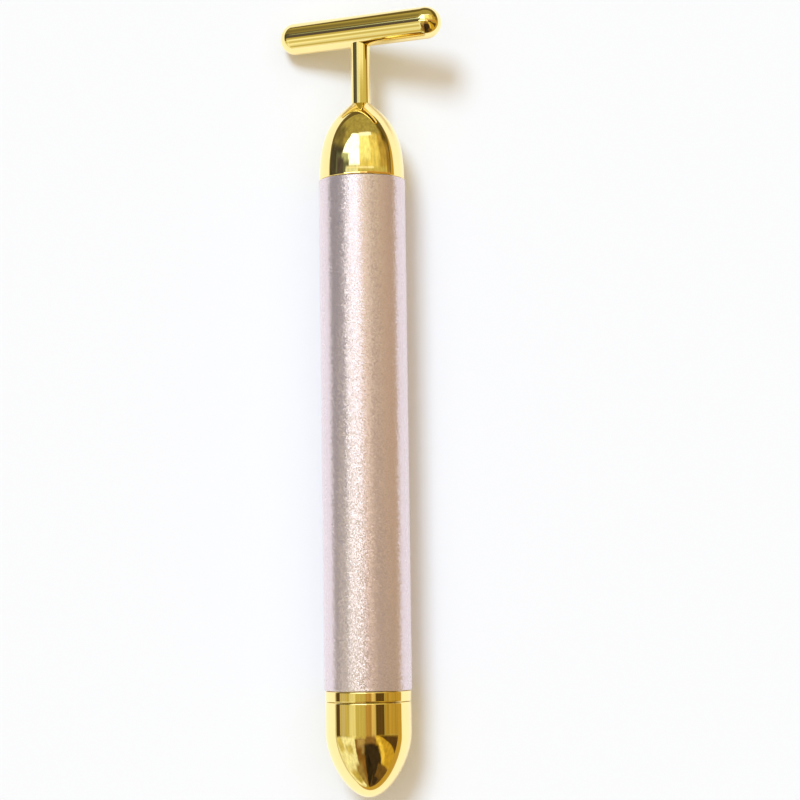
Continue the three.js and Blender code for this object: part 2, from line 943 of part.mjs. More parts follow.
function insertScrew() {
  const headTail = insertFloorFace + faceGap;
  const shankEnd = capMouth - capBoreDepth - screwBite;
  const body = turned([
    [0, shankEnd],
    [screwDiameter / 2, shankEnd],
    [screwDiameter / 2, headTail],
    [screwHeadDiameter / 2, headTail],
    [screwHeadDiameter / 2, headTail + screwHead],
    [0, headTail + screwHead],
  ], smallSides);
  const slotLength = 2 * screwSlotDepth;
  const armLength = screwHeadDiameter * screwSlotShare;
  const arms = [
    [armLength, screwSlotWidth],
    [screwSlotWidth, armLength],
  ];
  const face = headTail + screwHead;
  return cut(body, ...arms.map(([width, height]) => block(width, slotLength, height, 0, face, 0)));
}

function contactDisc() {
  return plainRod(discDiameter / 2, discTail, discHead, smallSides);
}

// A tapering helix of round wire. The ends run along the axis for one wire diameter, square to
// the insert's floor and the disc.
function negativeSpring() {
  const floor = insertFloorFace + faceGap;
  const top = discTail - faceGap;
  const steps = springCurls * springStepsPerCurl;
  const helixLow = floor + springWire;
  const helixHigh = top - springWire;
  const path = [];
  const radiusAt = (share) => (springBaseDiameter + (springTopDiameter - springBaseDiameter) * share) / 2;
  const helixPoint = (share, station) => {
    const angle = 2 * Math.PI * springCurls * share;
    return new THREE.Vector3(radiusAt(share) * Math.sin(angle), station, radiusAt(share) * Math.cos(angle));
  };
  path.push(helixPoint(0, floor));
  for (let i = 0; i <= steps; i += 1) {
    const share = i / steps;
    path.push(helixPoint(share, helixLow + (helixHigh - helixLow) * share));
  }
  path.push(helixPoint(1, top));
  reportLeastGap(path.slice(1, -1), springStepsPerCurl / 2, springWire);
  return sweptWire(path, springWire / 2, springSides);
}

// Prints the least clear distance of a wire to itself, between points at least that many steps apart.
function reportLeastGap(path, apart, diameter) {
  let least = Infinity;
  for (let i = 0; i < path.length; i += 1) {
    for (let j = i + apart; j < path.length; j += 1) {
      least = Math.min(least, path[i].distanceTo(path[j]));
    }
  }
  console.log(`negative_spring least gap to itself: ${(least - diameter).toFixed(2)} mm`);
}

// One unbroken tube through the path's points, with a flat end at each.
function sweptWire(path, radius, sides) {
  const positions = [];
  const index = [];
  path.forEach((point, i) => {
    const before = path[Math.max(i - 1, 0)];
    const after = path[Math.min(i + 1, path.length - 1)];
    const along = after.clone().sub(before).normalize();
    if (i === 0 || i === path.length - 1) {
      along.set(0, 1, 0);
    }
    const outward = new THREE.Vector3(point.x, 0, point.z).normalize();
    const side = outward.clone().sub(along.clone().multiplyScalar(outward.dot(along))).normalize();
    const across = along.clone().cross(side);
    for (let k = 0; k < sides; k += 1) {
      const angle = (2 * Math.PI * k) / sides;
      const rim = point.clone();
      rim.addScaledVector(side, radius * Math.cos(angle));
      rim.addScaledVector(across, radius * Math.sin(angle));
      positions.push(rim.x, rim.y, rim.z);
    }
  });
  for (let i = 0; i < path.length - 1; i += 1) {
    for (let k = 0; k < sides; k += 1) {
      const here = i * sides + k;
      const beside = i * sides + ((k + 1) % sides);
      index.push(here, beside, beside + sides);
      index.push(here, beside + sides, here + sides);
    }
  }
  const last = (path.length - 1) * sides;
  for (let k = 1; k < sides - 1; k += 1) {
    index.push(0, k + 1, k);
    index.push(last, last + k, last + k + 1);
  }
  const geometry = new THREE.BufferGeometry();
  geometry.setAttribute('position', new THREE.Float32BufferAttribute(positions, 3));
  geometry.setIndex(index);
  return closed(geometry);
}

// Assembly
const beautyBar = new THREE.Group();
beautyBar.position.set(0, -middleStation, tubeRadius);

function place(name, geometry, material) {
  const mesh = new THREE.Mesh(geometry, material);
  mesh.name = name;
  beautyBar.add(mesh);
}

place('head_bar', headBar(), goldPlate);
place('head_stem', headStem(), goldPlate);
place('head_dome', headDome(), goldPlate);
place('stem_washer', stemWasher(), brightSteel);
place('stem_nut', stemNut(), brass);

place('motor_holder', motorHolder(), whitePlastic);
place('motor_can', motorCan(), brightSteel);
place('motor_front_bush', frontBush(), bronze);
place('motor_end_cap', motorEndCap(), whitePlastic);
place('motor_rear_bush', rearBush(), bronze);
place('magnet_left', magnet(-1), darkFerrite);
place('magnet_right', magnet(1), darkFerrite);
place('brush_negative', brush(-1), copper);
place('brush_positive', brush(1), copper);

place('motor_shaft', motorShaft(), brightSteel);
place('armature_core', armatureCore(), brightSteel);
for (let pole = 0; pole < poleCount; pole += 1) {
  place(`winding_${pole + 1}`, winding(pole), copper);
}
place('commutator', commutator(), copper);
place('eccentric_weight', eccentricWeight(), brightSteel);

place('contact_carrier', contactCarrier(), whitePlastic);
place('positive_contact', positiveContact(), brass);
place('ground_clip', groundClip(), brass);
place('lead_positive', positiveLead(), redLead);
place('lead_negative', negativeLead(), blackPlastic);

place('handle_tube', handleTube(), pinkAnodised);
place('battery_liner', batteryLiner(), whitePlastic);
place('cell_can', cellCan(), brightSteel);
place('cell_wrap', cellWrapSleeve(), cellFoil);
place('cell_washer', cellWasher(), blackPlastic);
place('cell_positive_cap', cellPositiveCap(), brightSteel);

place('tail_collar', tailCollar(), goldPlate);
place('tail_cap', tailCap(), goldPlate);
place('cap_insert', threadedInsert(), brass);
place('cap_seal', capSeal(), blackRubber);
place('insert_screw', insertScrew(), brightSteel);
place('negative_spring', negativeSpring(), brightSteel);
place('contact_disc', contactDisc(), brass);

export default beautyBar;
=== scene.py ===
"""A vibrating beauty bar lying on a pale surface: gold massage bar, stem and dome, satin pink
tube, gold collar and bullet cap, with its cell, spring and switch parts inside.

Metres in the scene; the shapes below are written in millimetres. A station is the distance
along the handle from the tube's tail face, positive towards the head.
"""

import json

import bpy
import numpy as np
from mathutils import Matrix, Vector


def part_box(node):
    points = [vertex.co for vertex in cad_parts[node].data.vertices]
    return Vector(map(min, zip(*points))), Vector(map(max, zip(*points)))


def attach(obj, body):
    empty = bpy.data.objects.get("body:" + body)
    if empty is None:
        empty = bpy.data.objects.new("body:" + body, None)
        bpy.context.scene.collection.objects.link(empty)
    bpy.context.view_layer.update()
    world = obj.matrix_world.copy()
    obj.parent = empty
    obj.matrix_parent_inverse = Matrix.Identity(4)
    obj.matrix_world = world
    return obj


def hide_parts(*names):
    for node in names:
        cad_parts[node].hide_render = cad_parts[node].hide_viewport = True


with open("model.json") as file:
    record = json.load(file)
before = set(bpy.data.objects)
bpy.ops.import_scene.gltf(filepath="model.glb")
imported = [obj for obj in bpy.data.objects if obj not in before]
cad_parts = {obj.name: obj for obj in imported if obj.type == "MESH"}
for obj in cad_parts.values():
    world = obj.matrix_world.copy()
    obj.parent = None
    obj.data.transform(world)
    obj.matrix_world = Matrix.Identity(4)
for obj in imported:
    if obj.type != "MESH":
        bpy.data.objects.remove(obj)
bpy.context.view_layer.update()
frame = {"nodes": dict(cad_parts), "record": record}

# Camera, looking down with a small lean to the right and to the tail
IMAGE_SIDE = 800
FOCAL_PIXELS = 2404.46
SENSOR_WIDTH = 36.0
CAMERA_PLACE = (45.722, -37.159, 474.712)
CAMERA_RIGHT = (0.99637, -0.01376, -0.08399)
CAMERA_UP = (0.02034, 0.99674, 0.07803)
CAMERA_BACK = (0.08264, -0.07946, 0.99341)

MM = 0.001

camera_data = bpy.data.cameras.new("camera")
camera_data.sensor_fit = "HORIZONTAL"
camera_data.sensor_width = SENSOR_WIDTH
camera_data.lens = FOCAL_PIXELS / IMAGE_SIDE * SENSOR_WIDTH
camera_data.clip_start = 0.01
camera = bpy.data.objects.new("camera", camera_data)
camera_turn = Matrix((CAMERA_RIGHT, CAMERA_UP, CAMERA_BACK)).transposed()
camera.matrix_world = Matrix.Translation(Vector(CAMERA_PLACE) * MM) @ camera_turn.to_4x4()
bpy.context.scene.collection.objects.link(camera)
bpy.context.scene.camera = camera

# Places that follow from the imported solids, in millimetres


def corners(node):
    """Lowest and highest corner of a solid, as arrays in millimetres."""
    low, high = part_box(node)
    return np.array(low) / MM, np.array(high) / MM


tube_low, tube_high = corners("handle_tube")
AXIS_HEIGHT = 8.5
TUBE_LENGTH = tube_high[1] - tube_low[1]
TAIL_FACE = tube_low[1]

# Sizes of the outside, in millimetres
TUBE_RADIUS = 8.5
TUBE_BEVEL = 0.15
END_RADIUS = 8.35
END_BEVEL = 0.25
SLEEVE_RADIUS = 7.75
FACE_GAP = 0.05
TURNED_GAP = 0.1
DOME_HEIGHT = 15.3
DOME_SHOULDER_REACH = 9.7
DOME_NECK_REACH = 4.2
DOME_NECK_SLOPE = 0.86
DOME_SKIRT = 8.0
DOME_BORE_RADIUS = 6.3
DOME_BORE_DEPTH = 5.0
DOME_CHAMBER_RADIUS = 4.7
DOME_CHAMBER_DEPTH = 8.0
STEM_RADIUS = 1.9
STEM_TAIL = 4.2
STEM_ENTRY = 2.4
BAR_RADIUS = 3.15
BAR_LENGTH = 35.0
BAR_STATION = TUBE_LENGTH + 30.0
RESTING_ROLL = np.arcsin((TUBE_RADIUS - BAR_RADIUS - FACE_GAP) / (BAR_LENGTH / 2 - BAR_RADIUS))
COLLAR_BAND = 2.1
COLLAR_BORE_RADIUS = 7.3
COLLAR_SLEEVE = 8.0
CAP_LENGTH = 18.4
CAP_STRAIGHT = 5.8
CAP_SHOULDER_REACH = 5.6
CAP_TIP_REACH = 4.0
CAP_BORE_RADIUS = 7.55
CAP_BORE_DEPTH = 8.0
DOME_FACE = TUBE_LENGTH + FACE_GAP
COLLAR_TAIL = -FACE_GAP - COLLAR_BAND
CAP_MOUTH = COLLAR_TAIL - FACE_GAP
CAP_TIP = CAP_MOUTH - CAP_LENGTH

# Steps round a turned piece, and along its curves
FINE = 256
MEDIUM = 128
DOME_CURVE_STEPS = 120
CAP_CURVE_STEPS = 140

# A side longer than this gets a point close to each rounded end, at this distance
LONG_SIDE = 0.5
END_SUPPORT = 0.06

# Surfaces


def add_piece(name, vertices, faces, material, body, slot, *nodes, sharp=40):
    """A mesh object at the origin from arrays in millimetres. It rides on the body, takes the material
    given and stands for the solids named. The slot is not used."""
    mesh = bpy.data.meshes.new(name)
    mesh.from_pydata((vertices * MM).tolist(), [], faces)
    mesh.validate()
    mesh.shade_smooth()
    mesh.set_sharp_from_angle(angle=np.radians(sharp))
    mesh.materials.append(material)
    piece = bpy.data.objects.new(name, mesh)
    bpy.context.scene.collection.objects.link(piece)
    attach(piece, body)
    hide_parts(*nodes)
    return piece


def grid_faces(rows, columns, closed_rows=False, closed_columns=True):
    """Quads of a grid of points, row by row, joined round on the closed sides."""
    row = np.arange(rows if closed_rows else rows - 1)
    column = np.arange(columns if closed_columns else columns - 1)
    r, c = np.meshgrid(row, column, indexing="ij")
    up = (r + 1) % rows
    right = (c + 1) % columns
    quads = np.stack([r * columns + c, r * columns + right, up * columns + right, up * columns + c], -1)
    return quads.reshape(-1, 4)


def about_axis(radius, station, closed):
    """A surface about the handle's axis from a radius and a station for each row and column:
    the column at angle a from straight up towards +X gives x = radius sin a, y = station,
    z = axis height + radius cos a. Closed, the last row joins the first; otherwise the first and
    the last row each become one point on the axis. Returns vertices and faces."""
    radius, station = np.broadcast_arrays(np.asarray(radius, float), np.asarray(station, float))
    first, last = station[0, 0], station[-1, 0]
    if not closed:
        radius, station = radius[1:-1], station[1:-1]
    rows, sides = radius.shape
    angle = np.arange(sides) * 2 * np.pi / sides
    x, y, z = radius * np.sin(angle), station + TAIL_FACE, radius * np.cos(angle) + AXIS_HEIGHT
    rings = np.stack([x, y, z], -1).reshape(-1, 3)
    faces = grid_faces(rows, sides, closed_rows=closed).tolist()
    if closed:
        return rings, faces
    poles = np.array([[0, first + TAIL_FACE, AXIS_HEIGHT], [0, last + TAIL_FACE, AXIS_HEIGHT]])
    step = np.arange(sides)
    beside = (step + 1) % sides
    top = (rows - 1) * sides
    faces += np.stack([beside, step, step * 0 + len(rings)], -1).tolist()
    faces += np.stack([top + step, top + beside, step * 0 + len(rings) + 1], -1).tolist()
    return np.concatenate([rings, poles]), faces


def turned(profile, sides, closed):
    """A profile of (radius, station) points, the same all round. Returns vertices and faces."""
    profile = np.asarray(profile, dtype=float)
    same = np.ones(sides)
    return about_axis(profile[:, 0, None] * same, profile[:, 1, None] * same, closed)


def rounded(corners_list, closed=True, steps=6):
    """A profile through the corners (radius, station, rounding), each rounded by an arc that
    touches both sides: the corner is left at distance rounding * tan(turn / 2) on each side. A
    point close to each end of an arc keeps the shading of a long side straight."""
    points = np.array([c[:2] for c in corners_list], dtype=float)
    out = []
    count = len(points)
    for i, corner in enumerate(corners_list):
        size = corner[2] if len(corner) > 2 else 0.0
        here = points[i]
        if size <= 0 or (not closed and i in (0, count - 1)):
            out.append(here[None])
            continue
        back = points[i - 1] - here
        on = points[(i + 1) % count] - here
        room_back, room_on = np.linalg.norm(back), np.linalg.norm(on)
        back /= room_back
        on /= room_on
        half = np.arccos(np.clip(back @ on, -1, 1)) / 2
        leave = size / np.tan(half)
        middle = (back + on) / np.linalg.norm(back + on)
        centre = here + middle * size / np.sin(half)
        start = here + back * leave - centre
        end = here + on * leave - centre
        share = np.linspace(0, 1, steps + 1)[:, None]
        sweep = np.arccos(np.clip(start @ end / size ** 2, -1, 1))
        arc = (np.sin((1 - share) * sweep) * start + np.sin(share * sweep) * end) / np.sin(sweep)
        if room_back - leave > LONG_SIDE:
            out.append((here + back * (leave + END_SUPPORT))[None])
        out.append(centre + arc)
        if room_on - leave > LONG_SIDE:
            out.append((here + on * (leave + END_SUPPORT))[None])
    return np.concatenate(out)


def cubic(start, start_handle, end_handle, end, steps):
    """Points of a cubic curve: the usual sum of the four corners weighted by (1-t)^3, 3(1-t)^2 t,
    3(1-t) t^2 and t^3."""
    t = np.linspace(0, 1, steps + 1)[:, None]
    weights = [(1 - t) ** 3, 3 * (1 - t) ** 2 * t, 3 * (1 - t) * t ** 2, t ** 3]
    ends = [np.array(p, dtype=float) for p in (start, start_handle, end_handle, end)]
    return sum(w * p for w, p in zip(weights, ends))


# Materials

MATERIALS = {}


def finish(name, color, second, metallic, rough, tone_scale=300.0, grain_scale=4000.0,
           grain_depth=2e-6, stretch=(1, 1, 1), coat=0.0):
    """A finish whose colour drifts between two tones, whose roughness drifts between two values,
    and whose surface has a fine grain of the given depth. stretch draws the grain out."""
    if name in MATERIALS:
        return MATERIALS[name]
    material = bpy.data.materials.new(name)
    material.use_nodes = True
    nodes, links = material.node_tree.nodes, material.node_tree.links
    shader = nodes["Principled BSDF"]
    shader.inputs["Metallic"].default_value = metallic
    shader.inputs["Coat Weight"].default_value = coat
    place = nodes.new("ShaderNodeTexCoord")
    mapping = nodes.new("ShaderNodeMapping")
    mapping.inputs["Scale"].default_value = stretch
    links.new(place.outputs["Object"], mapping.inputs["Vector"])
    tone = nodes.new("ShaderNodeTexNoise")
    tone.inputs["Scale"].default_value = tone_scale
    tone.inputs["Detail"].default_value = 3
    links.new(place.outputs["Object"], tone.inputs["Vector"])
    grain = nodes.new("ShaderNodeTexNoise")
    grain.inputs["Scale"].default_value = grain_scale
    grain.inputs["Detail"].default_value = 2
    links.new(mapping.outputs["Vector"], grain.inputs["Vector"])
    mix = nodes.new("ShaderNodeMix")
    mix.data_type = "RGBA"
    mix.inputs["A"].default_value = (*color, 1)
    mix.inputs["B"].default_value = (*second, 1)
    links.new(tone.outputs["Fac"], mix.inputs["Factor"])
    links.new(mix.outputs["Result"], shader.inputs["Base Color"])
    spread = nodes.new("ShaderNodeMapRange")
    spread.inputs["To Min"].default_value = rough[0]
    spread.inputs["To Max"].default_value = rough[1]
    links.new(grain.outputs["Fac"], spread.inputs["Value"])
    links.new(spread.outputs["Result"], shader.inputs["Roughness"])
    bump = nodes.new("ShaderNodeBump")
    bump.inputs["Distance"].default_value = grain_depth
    links.new(grain.outputs["Fac"], bump.inputs["Height"])
    links.new(bump.outputs["Normal"], shader.inputs["Normal"])
    MATERIALS[name] = material
    return material


GOLD = (0.96, 0.79, 0.35)
GOLD_DEEP = (0.94, 0.77, 0.33)
gold_plate = finish("gold_plate", GOLD, GOLD_DEEP, 1.0, (0.03, 0.06), grain_scale=600.0, grain_depth=3e-7)


TUBE_DEEP = (0.70, 0.60, 0.64, 1)
TUBE_PALE = (0.84, 0.729, 0.775, 1)
TUBE_METALLIC = 0.7
TUBE_ROUGH = (0.21, 0.29)
GRAINS_PER_METRE = 5200.0
GRAIN_TILT = 0.145
GRAIN_HEIGHT = 4e-6
GRAIN_TONE_SHARE = 0.6


def satin_tube():
    """Blasted and anodised: a rose metal whose surface is broken into grains of about a fifth of
    a millimetre, each tilted its own way, so that single grains glint."""
    material = bpy.data.materials.new("pink_anodised")
    material.use_nodes = True
    nodes, links = material.node_tree.nodes, material.node_tree.links
    shader = nodes["Principled BSDF"]
    shader.inputs["Metallic"].default_value = TUBE_METALLIC
    place = nodes.new("ShaderNodeTexCoord")
    tone = nodes.new("ShaderNodeTexNoise")
    tone.inputs["Scale"].default_value = 900.0
    tone.inputs["Detail"].default_value = 4
    links.new(place.outputs["Object"], tone.inputs["Vector"])
    cells = nodes.new("ShaderNodeTexVoronoi")
    cells.inputs["Scale"].default_value = GRAINS_PER_METRE
    links.new(place.outputs["Object"], cells.inputs["Vector"])
    own = nodes.new("ShaderNodeSeparateColor")
    links.new(cells.outputs["Color"], own.inputs[0])
    blend = nodes.new("ShaderNodeMix")
    blend.inputs["Factor"].default_value = GRAIN_TONE_SHARE
    links.new(tone.outputs["Fac"], blend.inputs["A"])
    links.new(own.outputs[0], blend.inputs["B"])
    mix = nodes.new("ShaderNodeMix")
    mix.data_type = "RGBA"
    mix.inputs["A"].default_value = TUBE_DEEP
    mix.inputs["B"].default_value = TUBE_PALE
    links.new(blend.outputs["Result"], mix.inputs["Factor"])
    links.new(mix.outputs["Result"], shader.inputs["Base Color"])
    grain = nodes.new("ShaderNodeTexNoise")
    grain.inputs["Scale"].default_value = GRAINS_PER_METRE
    grain.inputs["Detail"].default_value = 2
    links.new(place.outputs["Object"], grain.inputs["Vector"])
    centred = nodes.new("ShaderNodeVectorMath")
    centred.operation = "SUBTRACT"
    centred.inputs[1].default_value = (0.5, 0.5, 0.5)
    links.new(cells.outputs["Color"], centred.inputs[0])
    scaled = nodes.new("ShaderNodeVectorMath")
    scaled.operation = "SCALE"
    scaled.inputs["Scale"].default_value = GRAIN_TILT
    links.new(centred.outputs["Vector"], scaled.inputs[0])
    bump = nodes.new("ShaderNodeBump")
    bump.inputs["Distance"].default_value = GRAIN_HEIGHT
    links.new(grain.outputs["Fac"], bump.inputs["Height"])
    added = nodes.new("ShaderNodeVectorMath")
    added.operation = "ADD"
    links.new(bump.outputs["Normal"], added.inputs[0])
    links.new(scaled.outputs["Vector"], added.inputs[1])
    unit = nodes.new("ShaderNodeVectorMath")
    unit.operation = "NORMALIZE"
    links.new(added.outputs["Vector"], unit.inputs[0])
    links.new(unit.outputs["Vector"], shader.inputs["Normal"])
    spread = nodes.new("ShaderNodeMapRange")
    spread.inputs["To Min"].default_value = TUBE_ROUGH[0]
    spread.inputs["To Max"].default_value = TUBE_ROUGH[1]
    links.new(grain.outputs["Fac"], spread.inputs["Value"])
    links.new(spread.outputs["Result"], shader.inputs["Roughness"])
    return material


pink_anodised = satin_tube()

# Handle tube
tube_profile = rounded([
    (SLEEVE_RADIUS + TURNED_GAP, 0.0),
    (TUBE_RADIUS, 0.0, TUBE_BEVEL),
    (TUBE_RADIUS, TUBE_LENGTH, TUBE_BEVEL),
    (SLEEVE_RADIUS + TURNED_GAP, TUBE_LENGTH),
])
add_piece("tube", *turned(tube_profile, FINE, True), pink_anodised, "root", "pink_anodised", "handle_tube")

# Gold dome
neck_radius = STEM_RADIUS + TURNED_GAP
shoulder = DOME_FACE + END_BEVEL
dome_top = TUBE_LENGTH + DOME_HEIGHT
neck_reach = DOME_NECK_REACH * np.array((np.sin(DOME_NECK_SLOPE), -np.cos(DOME_NECK_SLOPE)))
dome_curve = cubic(
    (END_RADIUS, shoulder),
    (END_RADIUS, shoulder + DOME_SHOULDER_REACH),
    (neck_radius, dome_top) + neck_reach,
    (neck_radius, dome_top),
    DOME_CURVE_STEPS,
)
dome_base = rounded([
    (DOME_BORE_RADIUS, TUBE_LENGTH - DOME_SKIRT),
    (SLEEVE_RADIUS, TUBE_LENGTH - DOME_SKIRT, 0.2),
    (SLEEVE_RADIUS, DOME_FACE),
    (END_RADIUS, DOME_FACE, END_BEVEL),
    (END_RADIUS, shoulder + 0.01),
], closed=False)
dome_inside = np.array([
    (neck_radius, DOME_FACE + DOME_CHAMBER_DEPTH),
    (DOME_CHAMBER_RADIUS, DOME_FACE + DOME_CHAMBER_DEPTH),
    (DOME_CHAMBER_RADIUS, DOME_FACE + DOME_BORE_DEPTH),
    (DOME_BORE_RADIUS, DOME_FACE + DOME_BORE_DEPTH),
])
dome_profile = np.concatenate([dome_base[:-1], dome_curve[1:], dome_inside])
add_piece("dome", *turned(dome_profile, FINE, True), gold_plate, "root", "gold_plate", "head_dome")

# Stem
stem_tail = DOME_FACE + DOME_CHAMBER_DEPTH - STEM_TAIL
stem_head = BAR_STATION - BAR_RADIUS + STEM_ENTRY
stem_profile = rounded([
    (0, stem_tail),
    (STEM_RADIUS, stem_tail, 0.3),
    (STEM_RADIUS, stem_head, 0.2),
    (0, stem_head),
], closed=False)
add_piece("stem", *turned(stem_profile, MEDIUM, False), gold_plate, "root", "gold_plate", "head_stem")


# Massage bar
BALL_STEPS = 48
BAR_RINGS = 31


def massage_bar():
    """A capsule: along its own axis b, its radius is the bar's between the two ball centres and
    falls as the root of radius^2 - (distance past the centre)^2 beyond them. It crosses the
    handle's axis at the bar's station, and is rolled about that axis until its low end is down."""
    reach = BAR_LENGTH / 2 - BAR_RADIUS
    turn = np.linspace(0, np.pi / 2, BALL_STEPS + 1)
    ball = np.stack([BAR_RADIUS * np.sin(turn), -reach - BAR_RADIUS * np.cos(turn)], -1)
    middle = np.stack([np.full(BAR_RINGS, BAR_RADIUS), np.linspace(-reach, reach, BAR_RINGS + 2)[1:-1]], -1)
    other = ball[::-1] * (1, -1)
    vertices, faces = turned(np.concatenate([ball, middle, other]), MEDIUM * 3 // 2, False)
    along, across, height = vertices[:, 1] - TAIL_FACE, vertices[:, 0], vertices[:, 2] - AXIS_HEIGHT
    flat = np.stack([along, -across, height], -1)
    low, level = np.sin(RESTING_ROLL), np.cos(RESTING_ROLL)
    x = level * flat[:, 0] - low * flat[:, 2]
    z = low * flat[:, 0] + level * flat[:, 2]
    y = flat[:, 1] + TAIL_FACE + BAR_STATION
    return np.stack([x, y, z + AXIS_HEIGHT], -1), faces


add_piece("massage_bar", *massage_bar(), gold_plate, "root", "gold_plate", "head_bar")

# Collar, with the thread that the cap's insert screws into


def even(values, sides):
    """One column of values, the same at every angle."""
    return np.asarray(values, dtype=float)[:, None] * np.ones(sides)


def ridge(station, sides, pitch, land, flank, shift):
    """A screw ridge on rows of stations: 1 where the station is within half a land of the helix
    station = pitch * (angle / turn + shift), falling to 0 over the flank, eased at both ends.
    It climbs one pitch for each turn from straight up towards +X."""
    angle = np.arange(sides) / sides
    turns = np.asarray(station)[:, None] / pitch - angle - shift
    away = np.abs(turns - np.round(turns)) * pitch
    rise = np.clip((land / 2 + flank - away) / flank, 0, 1)
    return rise * rise * (3 - 2 * rise)


def run_out(station, low, high, length):
    """1 along a thread, falling to 0 over the length at its low and high end."""
    share = np.clip(np.minimum(station - low, high - station) / length, 0, 1)
    return (share * share * (3 - 2 * share))[:, None]


THREAD_PITCH = 1.2
THREAD_LOW = -1.1
THREAD_HIGH = 3.85
THREAD_ROOT = 6.9
THREAD_DEPTH = 0.3
THREAD_LAND = 0.36
THREAD_FLANK = 0.264
THREAD_SHIFT = THREAD_LOW / THREAD_PITCH - 0.5
THREAD_RUN_OUT = 0.5
COLLAR_RIDGE_DEPTH = 0.22
COLLAR_RIDGE_LAND = 0.16
COLLAR_RIDGE_FLANK = 0.2
COLLAR_RIDGE_TAIL = COLLAR_TAIL + 0.6
COLLAR_RIDGE_HEAD = COLLAR_SLEEVE - 0.8


def collar():
    """The collar's turned profile, with a ridge inside its bore that runs midway between the
    ridges of the insert."""
    rim = rounded([
        (COLLAR_BORE_RADIUS, COLLAR_TAIL),
        (END_RADIUS, COLLAR_TAIL, END_BEVEL),
        (END_RADIUS, -FACE_GAP, END_BEVEL),
        (SLEEVE_RADIUS, -FACE_GAP),
        (SLEEVE_RADIUS, COLLAR_SLEEVE, 0.15),
        (COLLAR_BORE_RADIUS, COLLAR_SLEEVE),
    ], closed=False)
    station = np.linspace(COLLAR_SLEEVE, COLLAR_TAIL, 182)[1:-1]
    rise = ridge(station, FINE, THREAD_PITCH, COLLAR_RIDGE_LAND, COLLAR_RIDGE_FLANK, THREAD_SHIFT + 0.5)
    rise = rise * run_out(station, COLLAR_RIDGE_TAIL, COLLAR_RIDGE_HEAD, THREAD_RUN_OUT)
    radius = np.concatenate([even(rim[:, 0], FINE), COLLAR_BORE_RADIUS - COLLAR_RIDGE_DEPTH * rise])
    return about_axis(radius, np.concatenate([even(rim[:, 1], FINE), even(station, FINE)]), True)


add_piece("collar", *collar(), gold_plate, "root", "gold_plate", "tail_collar")

# Bullet cap, with the hole of the insert's screw
SCREW_HOLE_RADIUS = 1.3
SCREW_HOLE_DEPTH = 5.05
curve_start = CAP_MOUTH - CAP_STRAIGHT
cap_floor = CAP_MOUTH - CAP_BORE_DEPTH
nose = cubic(
    (0, CAP_TIP),
    (CAP_TIP_REACH, CAP_TIP),
    (END_RADIUS, curve_start - CAP_SHOULDER_REACH),
    (END_RADIUS, curve_start),
    CAP_CURVE_STEPS,
)
cap_mouth = rounded([
    (END_RADIUS, curve_start),
    (END_RADIUS, CAP_MOUTH, END_BEVEL),
    (CAP_BORE_RADIUS, CAP_MOUTH),
    (CAP_BORE_RADIUS, cap_floor, 0.1),
    (SCREW_HOLE_RADIUS, cap_floor),
    (SCREW_HOLE_RADIUS, cap_floor - SCREW_HOLE_DEPTH),
    (0, cap_floor - SCREW_HOLE_DEPTH),
], closed=False)
bullet_cap = turned(np.concatenate([nose[:-1], cap_mouth]), FINE, False)
add_piece("bullet_cap", *bullet_cap, gold_plate, "screw_cap", "gold_plate", "tail_cap")

# Finishes of what is inside
white_plastic = finish("white_plastic", (0.80, 0.79, 0.75), (0.76, 0.75, 0.71), 0.0, (0.4, 0.55))
black_plastic = finish("black_plastic", (0.03, 0.03, 0.03), (0.045, 0.045, 0.045), 0.0, (0.4, 0.55))
red_insulation = finish("red_insulation", (0.55, 0.04, 0.03), (0.48, 0.035, 0.03), 0.0, (0.3, 0.45))
bright_steel = finish("bright_steel", (0.60, 0.61, 0.63), (0.52, 0.53, 0.56), 1.0, (0.18, 0.32))
dark_ferrite = finish("dark_ferrite", (0.06, 0.06, 0.065), (0.09, 0.09, 0.09), 0.0, (0.6, 0.8))
sintered_bronze = finish("sintered_bronze", (0.52, 0.33, 0.16), (0.43, 0.27, 0.13), 1.0, (0.35, 0.55))
copper_wire = finish("copper_wire", (0.78, 0.34, 0.17), (0.68, 0.28, 0.13), 1.0, (0.2, 0.35))
turned_brass = finish("turned_brass", (0.78, 0.58, 0.25), (0.70, 0.51, 0.21), 1.0, (0.15, 0.3))
nickelled_can = finish("nickelled_can", (0.62, 0.62, 0.63), (0.55, 0.55, 0.56), 1.0, (0.2, 0.35))
cell_film = finish("cell_film", (0.13, 0.17, 0.22), (0.11, 0.15, 0.20), 0.0, (0.25, 0.35), coat=0.5)
seal_rubber = finish("seal_rubber", (0.02, 0.02, 0.02), (0.03, 0.03, 0.03), 0.0, (0.55, 0.7))
NODE_FINISHES = {
    "white_plastic": white_plastic,
    "black_plastic": black_plastic,
    "red_plastic": red_insulation,
    "steel": bright_steel,
    "ferrite": dark_ferrite,
    "bronze": sintered_bronze,
    "copper": copper_wire,
    "brass": turned_brass,
    "cell_metal": nickelled_can,
    "cell_film": cell_film,
    "rubber": seal_rubber,
    "gold_plate": gold_plate,
    "pink_anodised": pink_anodised,
}
for part in frame["record"]["subparts"]:
    node = frame["nodes"][part["node"]]
    node.data.materials.clear()
    node.data.materials.append(NODE_FINISHES[part["material_slot"]])


def span(node):
    """Lowest and highest station of a solid."""
    low, high = corners(node)
    return low[1] - TAIL_FACE, high[1] - TAIL_FACE


# Threaded insert of the cap, with its seal
INSERT_BORE_RADIUS = 5.7
INSERT_WIDE_RADIUS = 7.45
INSERT_SHOULDER = CAP_MOUTH - FACE_GAP
INSERT_FLOOR_FACE = -4.95
SEAL_GROOVE_RADIUS = 6.4
SEAL_GROOVE_HEAD = -1.4
SEAL_RADIUS = 6.825
SEAL_SECTION = 0.375


